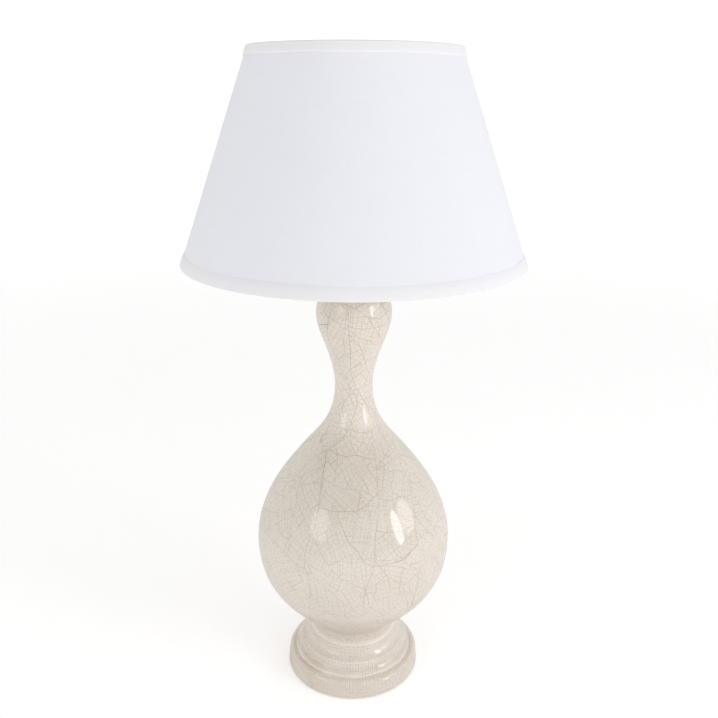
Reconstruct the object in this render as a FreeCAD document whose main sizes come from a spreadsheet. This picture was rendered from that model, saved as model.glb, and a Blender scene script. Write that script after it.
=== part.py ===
"""Double gourd table lamp: crackle-glazed ceramic base, harp, lamp holder and fabric shade.

Millimetres. +Z is up. The origin is the centre of the felt that the lamp stands on.
"""
import FreeCAD, Part
import math
import os
import Sketcher

Vector = FreeCAD.Vector
os.makedirs("parts", exist_ok=True)
doc = FreeCAD.newDocument("double_gourd_lamp")
sheet = doc.addObject("Spreadsheet::Sheet", "Sizes")

# ---------------------------------------------------------------------------
# Driving dimensions. Heights are measured from the table.
# ---------------------------------------------------------------------------
DIMENSIONS = [
    # clearances
    ("thread_gap", 0.05, "threaded pipe to what screws onto it, on the radius"),
    ("bore_gap", 0.35, "threaded pipe to a plain hole, on the radius"),
    ("turn_gap", 0.07, "stud or spindle to the hole it turns in, on the radius"),
    ("slide_gap", 0.3, "sleeve or bulb to what it slides on, on the radius"),
    ("skin_gap", 0.1, "between glued shade skins"),
    # foot of the ceramic base
    ("felt_thickness", 1.2, "felt pad under the foot"),
    ("felt_inset", 2.5, "felt edge to foot edge"),
    ("foot_radius", 92.2, "ceramic foot where it meets the felt"),
    ("edge_bevel", 0.8, "bevel on small turned edges"),
    ("foot_edge_round", 1.5, "rounding of the foot's lowest edge"),
    ("plinth_radius", 90.8, "plinth at the top of its side"),
    ("plinth_side_top", 18.0, "height where the plinth's side ends"),
    ("plinth_round", 7.0, "quarter round on the plinth"),
    ("quirk_radius", 81.4, "groove between plinth and lower bead"),
    ("quirk_top", 28.0, "height of the groove's upper edge"),
    ("lower_bead_round", 15.0, "arc of the lower bead"),
    ("bead_split_radius", 72.5, "groove between the two beads"),
    ("bead_split_height", 41.8, "height of that groove"),
    ("upper_bead_round", 24.0, "arc of the upper bead"),
    ("cove_edge_radius", 60.5, "upper bead's top edge"),
    ("cove_edge_height", 60.0, "height of that edge"),
    ("cove_lip", 1.0, "upright run of the cove at that edge"),
    # gourd outline: widest and narrowest places, and how far each curve runs upright
    ("waist_radius", 57.0, "narrowest place above the foot"),
    ("waist_rise", 15.0, "its height above the upper bead's top edge"),
    ("waist_pull", 9.0, "upright run of the curve at the waist"),
    ("underside_radius", 99.0, "straightest place under the belly"),
    ("underside_rise", 45.3, "its height above the waist"),
    ("underside_slope", 0.885, "growth of radius per height there"),
    ("underside_pull", 20.0, "straight run there, in height"),
    ("belly_radius", 130.1, "lower gourd at its widest"),
    ("belly_rise", 83.7, "its height above that"),
    ("belly_pull_down", 38.5, "upright run below the widest place"),
    ("belly_pull_up", 51.5, "upright run above it"),
    ("slope_radius", 75.3, "straightest place above the belly"),
    ("slope_rise", 121.0, "its height above the belly"),
    ("slope_fall", 0.78, "loss of radius per height there"),
    ("slope_pull", 30.0, "straight run there, in height"),
    ("neck_radius", 24.4, "neck between the gourds"),
    ("neck_rise", 97.8, "its height above that"),
    ("neck_pull_down", 49.0, "upright run below the neck"),
    ("neck_pull_up", 38.0, "upright run above it"),
    ("head_radius", 47.8, "upper gourd at its widest"),
    ("head_rise", 94.2, "its height above the neck"),
    ("head_pull", 23.0, "upright run at the widest place"),
    ("crown_radius", 26.0, "flat ring at the top of the ceramic"),
    ("crown_rise", 39.0, "its height above the head's widest place"),
    ("crown_pull", 12.0, "level run of the curve into the crown"),
    ("crown_hole", 15.0, "opening in the crown"),
    ("crown_land", 4.0, "depth of that opening's straight wall"),
    ("wall", 6.0, "ceramic wall, measured level"),
    ("foot_wall", 10.2, "foot's lowest edge to the hollow under it"),
    ("floor_bottom", 14.0, "underside of the ceramic floor"),
    ("floor_thickness", 7.0, "ceramic floor"),
    # cord inlet
    ("inlet_height", 8.6, "axis of the cord inlet"),
    ("inlet_radius", 4.5, "hole through the foot"),
    ("bushing_bore", 3.2, "cord passage"),
    ("bushing_flange_radius", 6.6, "bushing flange"),
    ("bushing_flange", 1.6, "flange thickness"),
    ("bushing_tail", 1.0, "bushing beyond the wall, inside"),
    # threaded pipe and the stack on it
    ("pipe_radius", 5.1, "threaded pipe"),
    ("pipe_bore", 3.5, "cord passage through the pipe"),
    ("pipe_tail", 1.6, "pipe below its nut"),
    ("pipe_chamfer", 0.6, "chamfer on the pipe's ends"),
    ("clamp_washer_radius", 19.0, "large washer under the floor"),
    ("clamp_washer", 1.8, "its thickness"),
    ("lock_washer_radius", 8.2, "lock washer under it"),
    ("lock_washer", 1.2, "its thickness"),
    ("pipe_nut_flats", 14.3, "hexagon nut across flats"),
    ("pipe_nut", 4.0, "its thickness"),
    ("cap_radius", 24.5, "vase cap over the crown"),
    ("cap_rise", 9.5, "its height"),
    ("cap_sheet", 1.1, "its sheet"),
    ("cap_rim", 1.6, "upright edge of the vase cap"),
    ("cap_flat", 9.0, "flat top of the vase cap"),
    ("cap_dome_pull", 5.0, "level run of its dome"),
    ("spacer_radius", 8.0, "turned neck above the cap"),
    ("spacer_waist", 6.6, "its waist"),
    ("spacer_rise", 9.5, "its height"),
    ("spacer_lip", 1.6, "its two end lips"),
    ("thin_nut", 2.8, "thin nut under the saddle"),
    # harp
    ("saddle_sheet", 1.5, "harp saddle strip"),
    ("saddle_width", 11.0, "its width"),
    ("saddle_bend", 14.0, "bend up to each post"),
    ("harp_foot", 35.5, "harp leg from the lamp's axis, at the saddle"),
    ("harp_wire", 1.9, "harp wire and saddle post"),
    ("post_rise", 13.0, "saddle post above the bend"),
    ("leg_rise", 16.0, "straight foot of each harp leg"),
    ("harp_half_width", 56.0, "harp leg from the axis, at its widest"),
    ("harp_bow", 50.0, "height of the bend out to the widest place"),
    ("harp_corner", 46.0, "bend at the harp's top"),
    ("harp_rise", 221.7, "axis of the wire at the harp's top, above the saddle"),
    ("eye_radius", 7.0, "eye at the harp's top"),
    ("eye_thickness", 4.0, "its thickness"),
    ("ferrule_length", 13.0, "locking sleeve"),
    ("ferrule_wall", 1.2, "its wall"),
    ("ferrule_overlap", 6.5, "sleeve below the joint"),
    ("ferrule_collar", 0.8, "collar round the sleeve's foot"),
    # stud and finial
    ("stud_radius", 3.2, "threaded stud on the harp"),
    ("stud_flange_radius", 8.5, "seat for the shade"),
    ("stud_flange", 2.0, "its thickness"),
    ("stud_head_radius", 5.4, "head under the eye"),
    ("stud_head", 2.2, "its thickness"),
    ("stud_rise", 12.5, "stud above its seat"),
    ("finial_radius", 8.0, "foot of the finial"),
    ("finial_rim", 1.2, "upright edge of its foot"),
    ("finial_flare", 3.2, "height of its flared foot"),
    ("finial_stem", 6.6, "height of its waist's lower end"),
    ("finial_waist", 3.9, "its waist"),
    ("finial_height", 22.4, "finial"),
    ("finial_ball", 6.4, "its ball"),
    ("finial_ball_height", 11.5, "height of its ball"),
    ("finial_bore_spare", 0.6, "bore beyond the stud's end"),
    # lamp holder
    ("hub_radius", 7.4, "hub of the holder's cap"),
    ("hub_rise", 6.5, "its height"),
    ("holder_radius", 17.3, "lamp holder"),
    ("holder_cup", 22.0, "height of the cap"),
    ("cup_flare", 8.0, "height of its flare above the hub"),
    ("holder_sheet", 0.8, "its brass sheet"),
    ("shell_tuck", 7.0, "shell inside the cap"),
    ("shell_rise", 41.0, "shell above the cap"),
    ("shell_seat", 0.4, "shell's bead above the cap"),
    ("shell_bead", 1.0, "height of the bead's slope"),
    ("shell_roll", 0.7, "inward roll of the shell's upper edge"),
    ("shell_roll_height", 1.5, "height of that roll"),
    ("sleeve_wall", 0.6, "paper insulating sleeve"),
    ("core_radius", 15.2, "insulating core"),
    ("core_lift", 15.7, "core above the saddle"),
    ("core_height", 20.0, "its height"),
    ("core_flat", 12.4, "flats for the terminal screws"),
    ("terminal_radius", 2.9, "terminal screw head"),
    ("terminal_head", 2.0, "its thickness"),
    ("terminal_clear", 1.5, "flat beyond the screw head"),
    ("set_screw_radius", 1.5, "set screw in the hub"),
    ("set_screw_length", 4.4, "its length"),
    ("spindle_radius", 2.4, "switch spindle"),
    ("spindle_lift", 15.0, "its axis above the core's foot"),
    ("spindle_root", 6.0, "its inner end from the lamp's axis"),
    ("spindle_hole", 3.4, "hole in shell and sleeve"),
    ("key_stand_off", 1.2, "key's hub from the holder"),
    ("key_hub", 4.0, "radius of the key's hub"),
    ("key_hub_length", 6.0, "its length over the spindle"),
    ("key_hub_end", 2.0, "its length beyond the spindle"),
    ("key_width", 15.0, "wing of the key"),
    ("key_length", 13.0, "wing along the spindle"),
    ("key_thickness", 3.2, "wing thickness"),
    ("screw_shell_radius", 13.9, "inside of the holder's screw shell"),
    ("screw_shell_sheet", 0.6, "its sheet"),
    ("screw_shell_drop", 4.0, "its upper edge below the shell's"),
    ("contact_opening", 6.0, "opening in the screw shell's floor"),
    ("contact_rise", 2.6, "centre contact above the core"),
    ("contact_width", 4.0, "centre contact strip"),
    ("contact_sheet", 0.5, "its sheet"),
    ("contact_foot", 1.2, "flat end of the strip"),
    ("contact_crest", 1.9, "half width of its raised middle"),
    # bulb
    ("tip_radius", 4.2, "contact at the bulb's tip"),
    ("tip_height", 1.4, "its height"),
    ("tip_margin", 1.0, "glass round the contact"),
    ("insulator_height", 3.0, "glass insulator above the tip"),
    ("insulator_top", 10.5, "its upper radius"),
    ("bulb_cap_radius", 13.1, "bulb's screw cap"),
    ("bulb_cap_height", 22.0, "its height"),
    ("bulb_cap_taper", 3.0, "height of its tapered foot"),
    ("bulb_cap_sheet", 0.5, "its sheet"),
    ("bulb_tuck", 6.0, "glass neck inside the cap"),
    ("bulb_step", 1.0, "height of the glass's flare above the cap"),
    ("bulb_neck", 13.8, "glass above the cap"),
    ("bulb_neck_pull", 14.0, "upright run of the curve at the neck"),
    ("bulb_radius", 30.0, "bulb at its widest"),
    ("bulb_centre", 51.0, "widest place above the cap"),
    ("bulb_wide_pull", 24.0, "upright run of the curve below it"),
    ("bulb_dome", 30.5, "dome above the widest place"),
    ("bulb_glass", 0.9, "glass wall"),
    # shade
    ("shade_lift", 25.0, "shade's upper edge above the seat on the harp"),
    ("shade_rise", 244.8, "upright height of the shade"),
    ("shade_bottom_radius", 210.4, "shade over the lower trim"),
    ("shade_top_radius", 123.6, "shade over the upper trim"),
    ("fabric", 0.8, "outer fabric, measured level"),
    ("liner", 0.8, "stiff liner inside it"),
    ("trim_proud", 1.6, "trim over the fabric"),
    ("lower_trim", 14.0, "lower trim outside"),
    ("upper_trim", 11.6, "upper trim outside"),
    ("trim_turn_in", 8.0, "lower trim inside"),
    ("trim_cloth", 1.1, "folded trim under and inside"),
    ("trim_edge_round", 1.2, "soft edge of a trim, as far as it reaches"),
    ("trim_blunt_round", 1.75, "arc of that edge where the corner is blunt"),
    ("upper_turn_in", 3.4, "upper trim inside"),
    ("panel_cut", 4.6, "edge of fabric and liner to the shade's edge"),
    ("ring_wire", 1.25, "wire of the shade's rings"),
    ("ring_inset", 3.0, "ring's axis inside the shade's face, at the ring's height"),
    ("spider_wire", 1.4, "wire of the spider's arms"),
    ("spider_bend", 20.0, "bend in each arm"),
    ("spider_washer_radius", 15.0, "spider's washer"),
    ("spider_washer", 2.0, "its thickness"),
    ("spider_hole", 4.0, "hole for the stud"),
    ("notch_gap", 0.9, "gap round an arm where it leaves the trim"),
]
for row, (name, value, note) in enumerate(DIMENSIONS, start=1):
    sheet.set(f"A{row}", name)
    sheet.set(f"B{row}", str(value))
    sheet.set(f"C{row}", note)
    sheet.setAlias(f"B{row}", name)
doc.recompute()

SPIDER_ARMS = 3
QUARTER = 0.5523  # handle of a quarter circle drawn as a cubic curve, as a share of its radius
LEAST_CUT = 1.0  # cubic millimetres that a working cut takes away


class Size:
    """A length from the sheet, or a sum or share of such lengths, with its live expression."""

    def __init__(self, value, text):
        self.value = value
        self.text = text

    def __add__(self, other):
        other = as_size(other)
        return Size(self.value + other.value, f"({self.text} + {other.text})")

    def __sub__(self, other):
        other = as_size(other)
        return Size(self.value - other.value, f"({self.text} - {other.text})")

    def __mul__(self, other):
        other = as_size(other)
        return Size(self.value * other.value, f"{self.text} * {other.text}")

    def __truediv__(self, other):
        other = as_size(other)
        return Size(self.value / other.value, f"{self.text} / {other.text}")

    def __neg__(self):
        return Size(-self.value, f"(0 - {self.text})")

    def root(self):
        return Size(math.sqrt(self.value), f"sqrt({self.text})")

    def or_more(self, other):
        """The greater of two sizes."""
        other = as_size(other)
        return Size(max(self.value, other.value), f"max({self.text}; {other.text})")


def as_size(number):
    """Let plain numbers stand beside sizes."""
    if isinstance(number, Size):
        return number
    return Size(float(number), repr(float(number)))


class SheetSizes:
    """Reads a cell of the sheet by its alias."""

    def __getattr__(self, alias):
        return Size(float(sheet.get(alias)), f"Sizes.{alias}")


s = SheetSizes()
pieces = []


# ---------------------------------------------------------------------------
# Drawing and shaping
# ---------------------------------------------------------------------------
def finished(item, name):
    """Name a finished piece and keep it for export."""
    item.Label = name
    pieces.append(item)
    return item


def bind(item, prop, size):
    """Tie a property to the sheet."""
    item.setExpression(prop, as_size(size).text)


def origin_plane(body, role):
    """One of the body's own origin planes."""
    return [f for f in body.Origin.OriginFeatures if f.Role == role][0]


def new_sketch(body, name, role="XZ_Plane", offset=None):
    """A sketch on an origin plane, moved along its normal by offset."""
    sketch = body.newObject("Sketcher::SketchObject", name)
    sketch.AttachmentSupport = [(origin_plane(body, role), "")]
    sketch.MapMode = "FlatFace"
    if offset is not None:
        bind(sketch, "AttachmentOffset.Base.z", offset)
    return sketch


class Outline:
    """Draws joined lines, arcs and curves; every corner is tied to the sheet."""

    def __init__(self, sketch, across, up):
        self.sketch = sketch
        self.start = (as_size(across), as_size(up))
        self.here = self.start
        self.first = None
        self.last = None

    def pin(self, geometry, place, point):
        """Fix one point of a piece of geometry at a place."""
        for kind, size in zip(("DistanceX", "DistanceY"), place):
            rule = Sketcher.Constraint(kind, -1, 1, geometry, point, size.value)
            index = self.sketch.addConstraint(rule)
            self.sketch.setExpression(f"Constraints[{index}]", size.text)

    def join(self, geometry, entry, leave, end):
        """Hook new geometry to the last one and pin its far end."""
        if self.last is None:
            self.first = (geometry, entry)
            self.pin(geometry, self.here, entry)
        else:
            joint = Sketcher.Constraint("Coincident", *self.last, geometry, entry)
            self.sketch.addConstraint(joint)
        if end is None:
            joint = Sketcher.Constraint("Coincident", geometry, leave, *self.first)
            self.sketch.addConstraint(joint)
        else:
            self.pin(geometry, end, leave)
            self.here = end
        self.last = (geometry, leave)
        return self

    def line(self, across, up):
        end = (as_size(across), as_size(up))
        edge = Part.LineSegment(flat(self.here), flat(end))
        return self.join(self.sketch.addGeometry(edge, False), 1, 2, end)

    def close(self):
        edge = Part.LineSegment(flat(self.here), flat(self.start))
        return self.join(self.sketch.addGeometry(edge, False), 1, 2, None)

    def arc(self, across, up, radius, turn):
        """Arc of less than a half circle; turn is 1 to the left and -1 to the right."""
        end = (as_size(across), as_size(up))
        radius = as_size(radius)
        a, b = flat(self.here), flat(end)
        half = (b - a) * 0.5
        rise = math.sqrt(max(radius.value ** 2 - half.Length ** 2, 0.0))
        side = Vector(-half.y, half.x, 0).normalize()
        centre = a + half + side * (rise * turn)
        low, high = (a, b) if turn > 0 else (b, a)
        angles = [math.atan2(p.y - centre.y, p.x - centre.x) for p in (low, high)]
        circle = Part.Circle(centre, Vector(0, 0, 1), radius.value)
        geometry = self.sketch.addGeometry(Part.ArcOfCircle(circle, *angles), False)
        entry, leave = (1, 2) if turn > 0 else (2, 1)
        self.join(geometry, entry, leave, end)
        rule = Sketcher.Constraint("Radius", geometry, radius.value)
        index = self.sketch.addConstraint(rule)
        self.sketch.setExpression(f"Constraints[{index}]", radius.text)
        return self

    def curve(self, first_handle, second_handle, across, up):
        """Cubic curve whose two handles are tied to the sheet as its ends are."""
        end = (as_size(across), as_size(up))
        handles = [tuple(as_size(v) for v in pair) for pair in (first_handle, second_handle)]
        poles = [flat(self.here), flat(handles[0]), flat(handles[1]), flat(end)]
        curve = Part.BSplineCurve()
        curve.buildFromPolesMultsKnots(poles, [4, 4], [0, 1], False, 3)
        geometry = self.sketch.addGeometry(curve, False)
        self.sketch.exposeInternalGeometry(geometry)
        for step, handle in ((2, handles[0]), (3, handles[1])):
            self.pin(geometry + step, handle, 3)
        return self.join(geometry, 1, 2, end)


def flat(place):
    """A point of the sketch plane."""
    return Vector(place[0].value, place[1].value, 0)


def circle(sketch, across, up, radius):
    """A whole circle tied to the sheet."""
    across, up, radius = as_size(across), as_size(up), as_size(radius)
    round_ = Part.Circle(Vector(across.value, up.value, 0), Vector(0, 0, 1), radius.value)
    geometry = sketch.addGeometry(round_, False)
    Outline(sketch, across, up).pin(geometry, (across, up), 3)
    rule = Sketcher.Constraint("Radius", geometry, radius.value)
    index = sketch.addConstraint(rule)
    sketch.setExpression(f"Constraints[{index}]", radius.text)


def new_body(name):
    return doc.addObject("PartDesign::Body", name + "_body")


def revolve(body, sketch):
    """Turn a sketch once round the upright axis."""
    turned = body.newObject("PartDesign::Revolution", sketch.Name + "_turned")
    turned.Profile = sketch
    turned.ReferenceAxis = (sketch, ["V_Axis"])
    turned.Angle = 360
    return turned


def turned_body(name, draw, *args):
    """A piece turned round the upright axis; draw adds its half section."""
    body = new_body(name)
    sketch = new_sketch(body, name + "_section")
    draw(sketch, *args)
    revolve(body, sketch)
    return body


def plate(body, sketch, thickness, middle=False):
    """Pad a sketch along its normal."""
    pad = body.newObject("PartDesign::Pad", sketch.Name + "_pad")
    pad.Profile = sketch
    bind(pad, "Length", thickness)
    pad.Midplane = middle
    return pad


def tube_section(sketch, inner, outer, low, high):
    """Rectangular half section of a washer or tube."""
    Outline(sketch, inner, low).line(outer, low).line(outer, high).line(inner, high).close()


def hexagon_nut(name, flats, low, thickness, hole):
    """Hexagon nut with its hole, standing on the height low."""
    body = new_body(name)
    sketch = new_sketch(body, name + "_outline", "XY_Plane", low)
    apothem = flats / 2
    corner = flats / as_size(3).root()
    pen = Outline(sketch, corner, 0)
    pen.line(corner / 2, apothem).line(-corner / 2, apothem).line(-corner, 0)
    pen.line(-corner / 2, -apothem).line(corner / 2, -apothem).close()
    circle(sketch, 0, 0, hole)
    plate(body, sketch, thickness)
    return body


def cylinder(name, radius, height, at=None, direction=(0, 0, 1)):
    """Plain cylinder whose base centre is at, with sheet sizes."""
    item = doc.addObject("Part::Cylinder", name)
    bind(item, "Radius", radius)
    bind(item, "Height", height)
    turn = FreeCAD.Rotation(Vector(0, 0, 1), Vector(*direction))
    item.Placement = FreeCAD.Placement(Vector(0, 0, 0), turn)
    for axis, size in zip("xyz", at or (0, 0, 0)):
        bind(item, f"Placement.Base.{axis}", size)
    return item


def cut(name, base, tool):
    """Base with tool taken out of it."""
    item = doc.addObject("Part::Cut", name)
    item.Base = base
    item.Tool = tool
    return item


def fuse(name, *items):
    """Items joined into one solid."""
    item = doc.addObject("Part::MultiFuse", name)
    item.Shapes = list(items)
    item.Refine = True
    return item


# ---------------------------------------------------------------------------
# Reaches of the foot
# ---------------------------------------------------------------------------
recess_radius = s.foot_radius - s.foot_wall
side_bottom = s.felt_thickness + s.foot_edge_round


def plinth_reach(height):
    """Distance from the axis to the plinth's sloping side at a height."""
    share = (height - side_bottom) / (s.plinth_side_top - side_bottom)
    return s.foot_radius + (s.plinth_radius - s.foot_radius) * share


# the bushing's flange bears on the side wherever that stands out most
flange_seat = s.foot_radius.or_more(plinth_reach(s.inlet_height + s.bushing_flange_radius))


# ---------------------------------------------------------------------------
# Heights of the gourd, and of the stack on the threaded pipe
# ---------------------------------------------------------------------------
waist_height = s.cove_edge_height + s.waist_rise
underside_height = waist_height + s.underside_rise
belly_height = underside_height + s.belly_rise
slope_height = belly_height + s.slope_rise
neck_height = slope_height + s.neck_rise
head_height = neck_height + s.head_rise
crown_height = head_height + s.crown_rise

floor_top = s.floor_bottom + s.floor_thickness
clamp_washer_low = s.floor_bottom - s.clamp_washer
lock_washer_low = clamp_washer_low - s.lock_washer
lower_nut_low = lock_washer_low - s.pipe_nut
cap_top = crown_height + s.cap_rise
spacer_top = cap_top + s.spacer_rise
saddle_low = spacer_top + s.thin_nut
saddle_top = saddle_low + s.saddle_sheet
hub_top = saddle_top + s.hub_rise
pipe_bottom = lower_nut_low - s.pipe_tail
pipe_top = hub_top + s.pipe_chamfer
plain_hole = s.pipe_radius + s.bore_gap
thread_hole = s.pipe_radius + s.thread_gap

# Harp
post_low = saddle_low + s.saddle_sheet / 2 + s.saddle_bend
post_top = post_low + s.post_rise
bow_low = post_top + s.leg_rise
bow_top = bow_low + s.harp_bow
harp_top = saddle_top + s.harp_rise
eye_top = harp_top + s.eye_thickness / 2
eye_low = harp_top - s.eye_thickness / 2
seat_top = eye_top + s.stud_flange
washer_top = seat_top + s.spider_washer

# Lamp holder
cup_top = saddle_top + s.holder_cup
shell_low = cup_top - s.shell_tuck
shell_top = cup_top + s.shell_rise
bead_top = cup_top + s.shell_seat + s.shell_bead
core_low = saddle_top + s.core_lift
core_top = core_low + s.core_height
spindle_height = core_low + s.spindle_lift
spindle_end = s.holder_radius + s.key_stand_off + s.key_hub_length
contact_top = core_top + s.contact_rise

# Bulb
tip_top = contact_top + s.tip_height
bulb_cap_low = tip_top + s.insulator_height
bulb_cap_top = bulb_cap_low + s.bulb_cap_height

# Shade
shade_top = seat_top + s.shade_lift
shade_bottom = shade_top - s.shade_rise
slant = (s.shade_bottom_radius - s.shade_top_radius) / s.shade_rise
# a length square to the shade's face is this much longer when measured level
lean = (slant * slant + 1).root()


def shade_radius(height, inward):
    """Radius of the shade's cone at a height, moved inward from the trims' outer face."""
    return s.shade_bottom_radius - inward - slant * (height - shade_bottom)


# ---------------------------------------------------------------------------
# Ceramic base
# ---------------------------------------------------------------------------
def gourd_curves(pen, inward):
    """The gourd from waist to head, with the same curves outside and inside."""
    waist = s.waist_radius - inward
    under = s.underside_radius - inward
    under_run = s.underside_slope * s.underside_pull
    belly = s.belly_radius - inward
    slope = s.slope_radius - inward
    slope_run = s.slope_fall * s.slope_pull
    neck = s.neck_radius - inward
    head = s.head_radius - inward
    pen.curve((waist, waist_height + s.waist_pull),
              (under - under_run, underside_height - s.underside_pull),
              under, underside_height)
    pen.curve((under + under_run, underside_height + s.underside_pull),
              (belly, belly_height - s.belly_pull_down),
              belly, belly_height)
    pen.curve((belly, belly_height + s.belly_pull_up),
              (slope + slope_run, slope_height - s.slope_pull),
              slope, slope_height)
    pen.curve((slope - slope_run, slope_height + s.slope_pull),
              (neck, neck_height - s.neck_pull_down),
              neck, neck_height)
    pen.curve((neck, neck_height + s.neck_pull_up),
              (head, head_height - s.head_pull),
              head, head_height)


def ceramic_outside(sketch):
    """Half section of the solid base: foot mouldings, belly, neck and head."""
    edge = s.foot_edge_round
    plinth_top = s.plinth_side_top + s.plinth_round
    pen = Outline(sketch, 0, s.felt_thickness)
    pen.line(s.foot_radius - edge, s.felt_thickness)
    pen.arc(s.foot_radius, side_bottom, edge, 1)
    pen.line(s.plinth_radius, s.plinth_side_top)
    pen.arc(s.plinth_radius - s.plinth_round, plinth_top, s.plinth_round, 1)
    pen.line(s.quirk_radius, plinth_top)
    pen.line(s.quirk_radius, s.quirk_top)
    pen.arc(s.bead_split_radius, s.bead_split_height, s.lower_bead_round, 1)
    pen.arc(s.cove_edge_radius, s.cove_edge_height, s.upper_bead_round, 1)
    pen.curve((s.waist_radius + (s.cove_edge_radius - s.waist_radius) / 3, s.cove_edge_height + s.cove_lip),
              (s.waist_radius, waist_height - s.waist_pull),
              s.waist_radius, waist_height)
    gourd_curves(pen, 0)
    pen.curve((s.head_radius, head_height + s.head_pull),
              (s.crown_radius + s.crown_pull, crown_height),
              s.crown_radius, crown_height)
    pen.line(0, crown_height)
    pen.close()


def ceramic_inside(sketch):
    """Half section of the hollow above the floor, open at the crown."""
    pen = Outline(sketch, 0, floor_top)
    pen.line(s.quirk_radius - s.wall, floor_top)
    pen.line(s.bead_split_radius - s.wall, s.bead_split_height)
    pen.line(s.cove_edge_radius - s.wall, s.cove_edge_height)
    pen.line(s.waist_radius - s.wall, waist_height)
    gourd_curves(pen, s.wall)
    land = crown_height - s.crown_land
    pen.curve((s.head_radius - s.wall, head_height + s.head_pull),
              (s.crown_hole + s.crown_pull, land),
              s.crown_hole, land)
    pen.line(s.crown_hole, crown_height)
    pen.line(0, crown_height)
    pen.close()


def groove(body, sketch):
    """Turn a sketch round the upright axis and take it out of the body."""
    cutter = body.newObject("PartDesign::Groove", sketch.Name + "_groove")
    cutter.Profile = sketch
    cutter.ReferenceAxis = (sketch, ["V_Axis"])
    cutter.Angle = 360
    return cutter


def make_ceramic_body():
    body = turned_body("ceramic_body", ceramic_outside)
    inside = new_sketch(body, "ceramic_hollow")
    ceramic_inside(inside)
    groove(body, inside)
    under = new_sketch(body, "foot_recess")
    low, high = s.felt_thickness, s.floor_bottom
    Outline(under, 0, low).line(recess_radius, low).line(recess_radius, high).line(0, high).close()
    groove(body, under)
    through = new_sketch(body, "pipe_hole")
    Outline(through, 0, high).line(plain_hole, high).line(plain_hole, floor_top).line(0, floor_top).close()
    groove(body, through)
    doc.recompute()
    whole = body.Shape.Volume
    inlet = new_sketch(body, "inlet_hole")
    circle(inlet, 0, s.inlet_height, s.inlet_radius)
    pocket = body.newObject("PartDesign::Pocket", "inlet_pocket")
    pocket.Profile = inlet
    bind(pocket, "Length", s.foot_radius + s.plinth_round)
    # the inlet goes out at the back of the lamp, which is +Y
    pocket.UseCustomVector = True
    pocket.Direction = Vector(0, 1, 0)
    doc.recompute()
    check_removed("inlet", whole, body.Shape.Volume)
    finished(body, "ceramic_body")


def check_removed(what, before, after):
    """A cut that takes nothing away is a fault."""
    if not after < before - LEAST_CUT:
        raise RuntimeError(f"{what} removed nothing: {before} to {after}")


def make_base_felt():
    radius = s.foot_radius - s.felt_inset
    finished(cylinder("felt", radius, s.felt_thickness), "base_felt")


def bushing_section(sketch):
    """Half section about the inlet's axis, measured outward from the lamp's axis."""
    tail = recess_radius - s.bushing_tail
    barrel = s.inlet_radius - s.thread_gap
    pen = Outline(sketch, s.bushing_bore, tail)
    pen.line(barrel, tail)
    pen.line(barrel, flange_seat)
    pen.line(s.bushing_flange_radius, flange_seat)
    pen.line(s.bushing_flange_radius - s.edge_bevel, flange_seat + s.bushing_flange)
    pen.line(s.bushing_bore + s.edge_bevel, flange_seat + s.bushing_flange)
    pen.line(s.bushing_bore, flange_seat + s.bushing_flange - s.edge_bevel)
    pen.close()


def make_cord_bushing():
    body = turned_body("cord_bushing", bushing_section)
    body.Placement = FreeCAD.Placement(Vector(0, 0, 0), FreeCAD.Rotation(Vector(1, 0, 0), -90))
    bind(body, "Placement.Base.z", s.inlet_height)
    finished(body, "cord_bushing")


# ---------------------------------------------------------------------------
# Threaded pipe and what it clamps
# ---------------------------------------------------------------------------
def pipe_section(sketch):
    bevel = s.pipe_chamfer
    pen = Outline(sketch, s.pipe_bore, pipe_bottom)
    pen.line(s.pipe_radius - bevel, pipe_bottom)
    pen.line(s.pipe_radius, pipe_bottom + bevel)
    pen.line(s.pipe_radius, pipe_top - bevel)
    pen.line(s.pipe_radius - bevel, pipe_top)
    pen.line(s.pipe_bore, pipe_top)
    pen.close()


def vase_cap_section(sketch):
    """Spun dome that stands on the crown with its edge."""
    sheet_ = s.cap_sheet
    rim = crown_height + s.cap_rim
    pen = Outline(sketch, s.cap_radius - sheet_, crown_height)
    pen.line(s.cap_radius, crown_height)
    pen.line(s.cap_radius, rim)
    pen.curve((s.cap_radius - sheet_, cap_top - s.cap_rim),
              (s.cap_flat + s.cap_dome_pull, cap_top),
              s.cap_flat, cap_top)
    pen.line(plain_hole, cap_top)
    pen.line(plain_hole, cap_top - sheet_)
    pen.line(s.cap_flat, cap_top - sheet_)
    pen.curve((s.cap_flat + s.cap_dome_pull, cap_top - sheet_),
              (s.cap_radius - sheet_ * 2, cap_top - s.cap_rim - sheet_),
              s.cap_radius - sheet_, rim - sheet_)
    pen.close()


def spacer_section(sketch):
    """Turned brass neck with a lip at each end."""
    pen = Outline(sketch, plain_hole, cap_top)
    pen.line(s.spacer_radius, cap_top)
    pen.line(s.spacer_radius, cap_top + s.spacer_lip)
    pen.curve((s.spacer_waist, cap_top + s.spacer_lip + s.edge_bevel),
              (s.spacer_waist, spacer_top - s.spacer_lip - s.edge_bevel),
              s.spacer_radius, spacer_top - s.spacer_lip)
    pen.line(s.spacer_radius, spacer_top)
    pen.line(plain_hole, spacer_top)
    pen.close()


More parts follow.
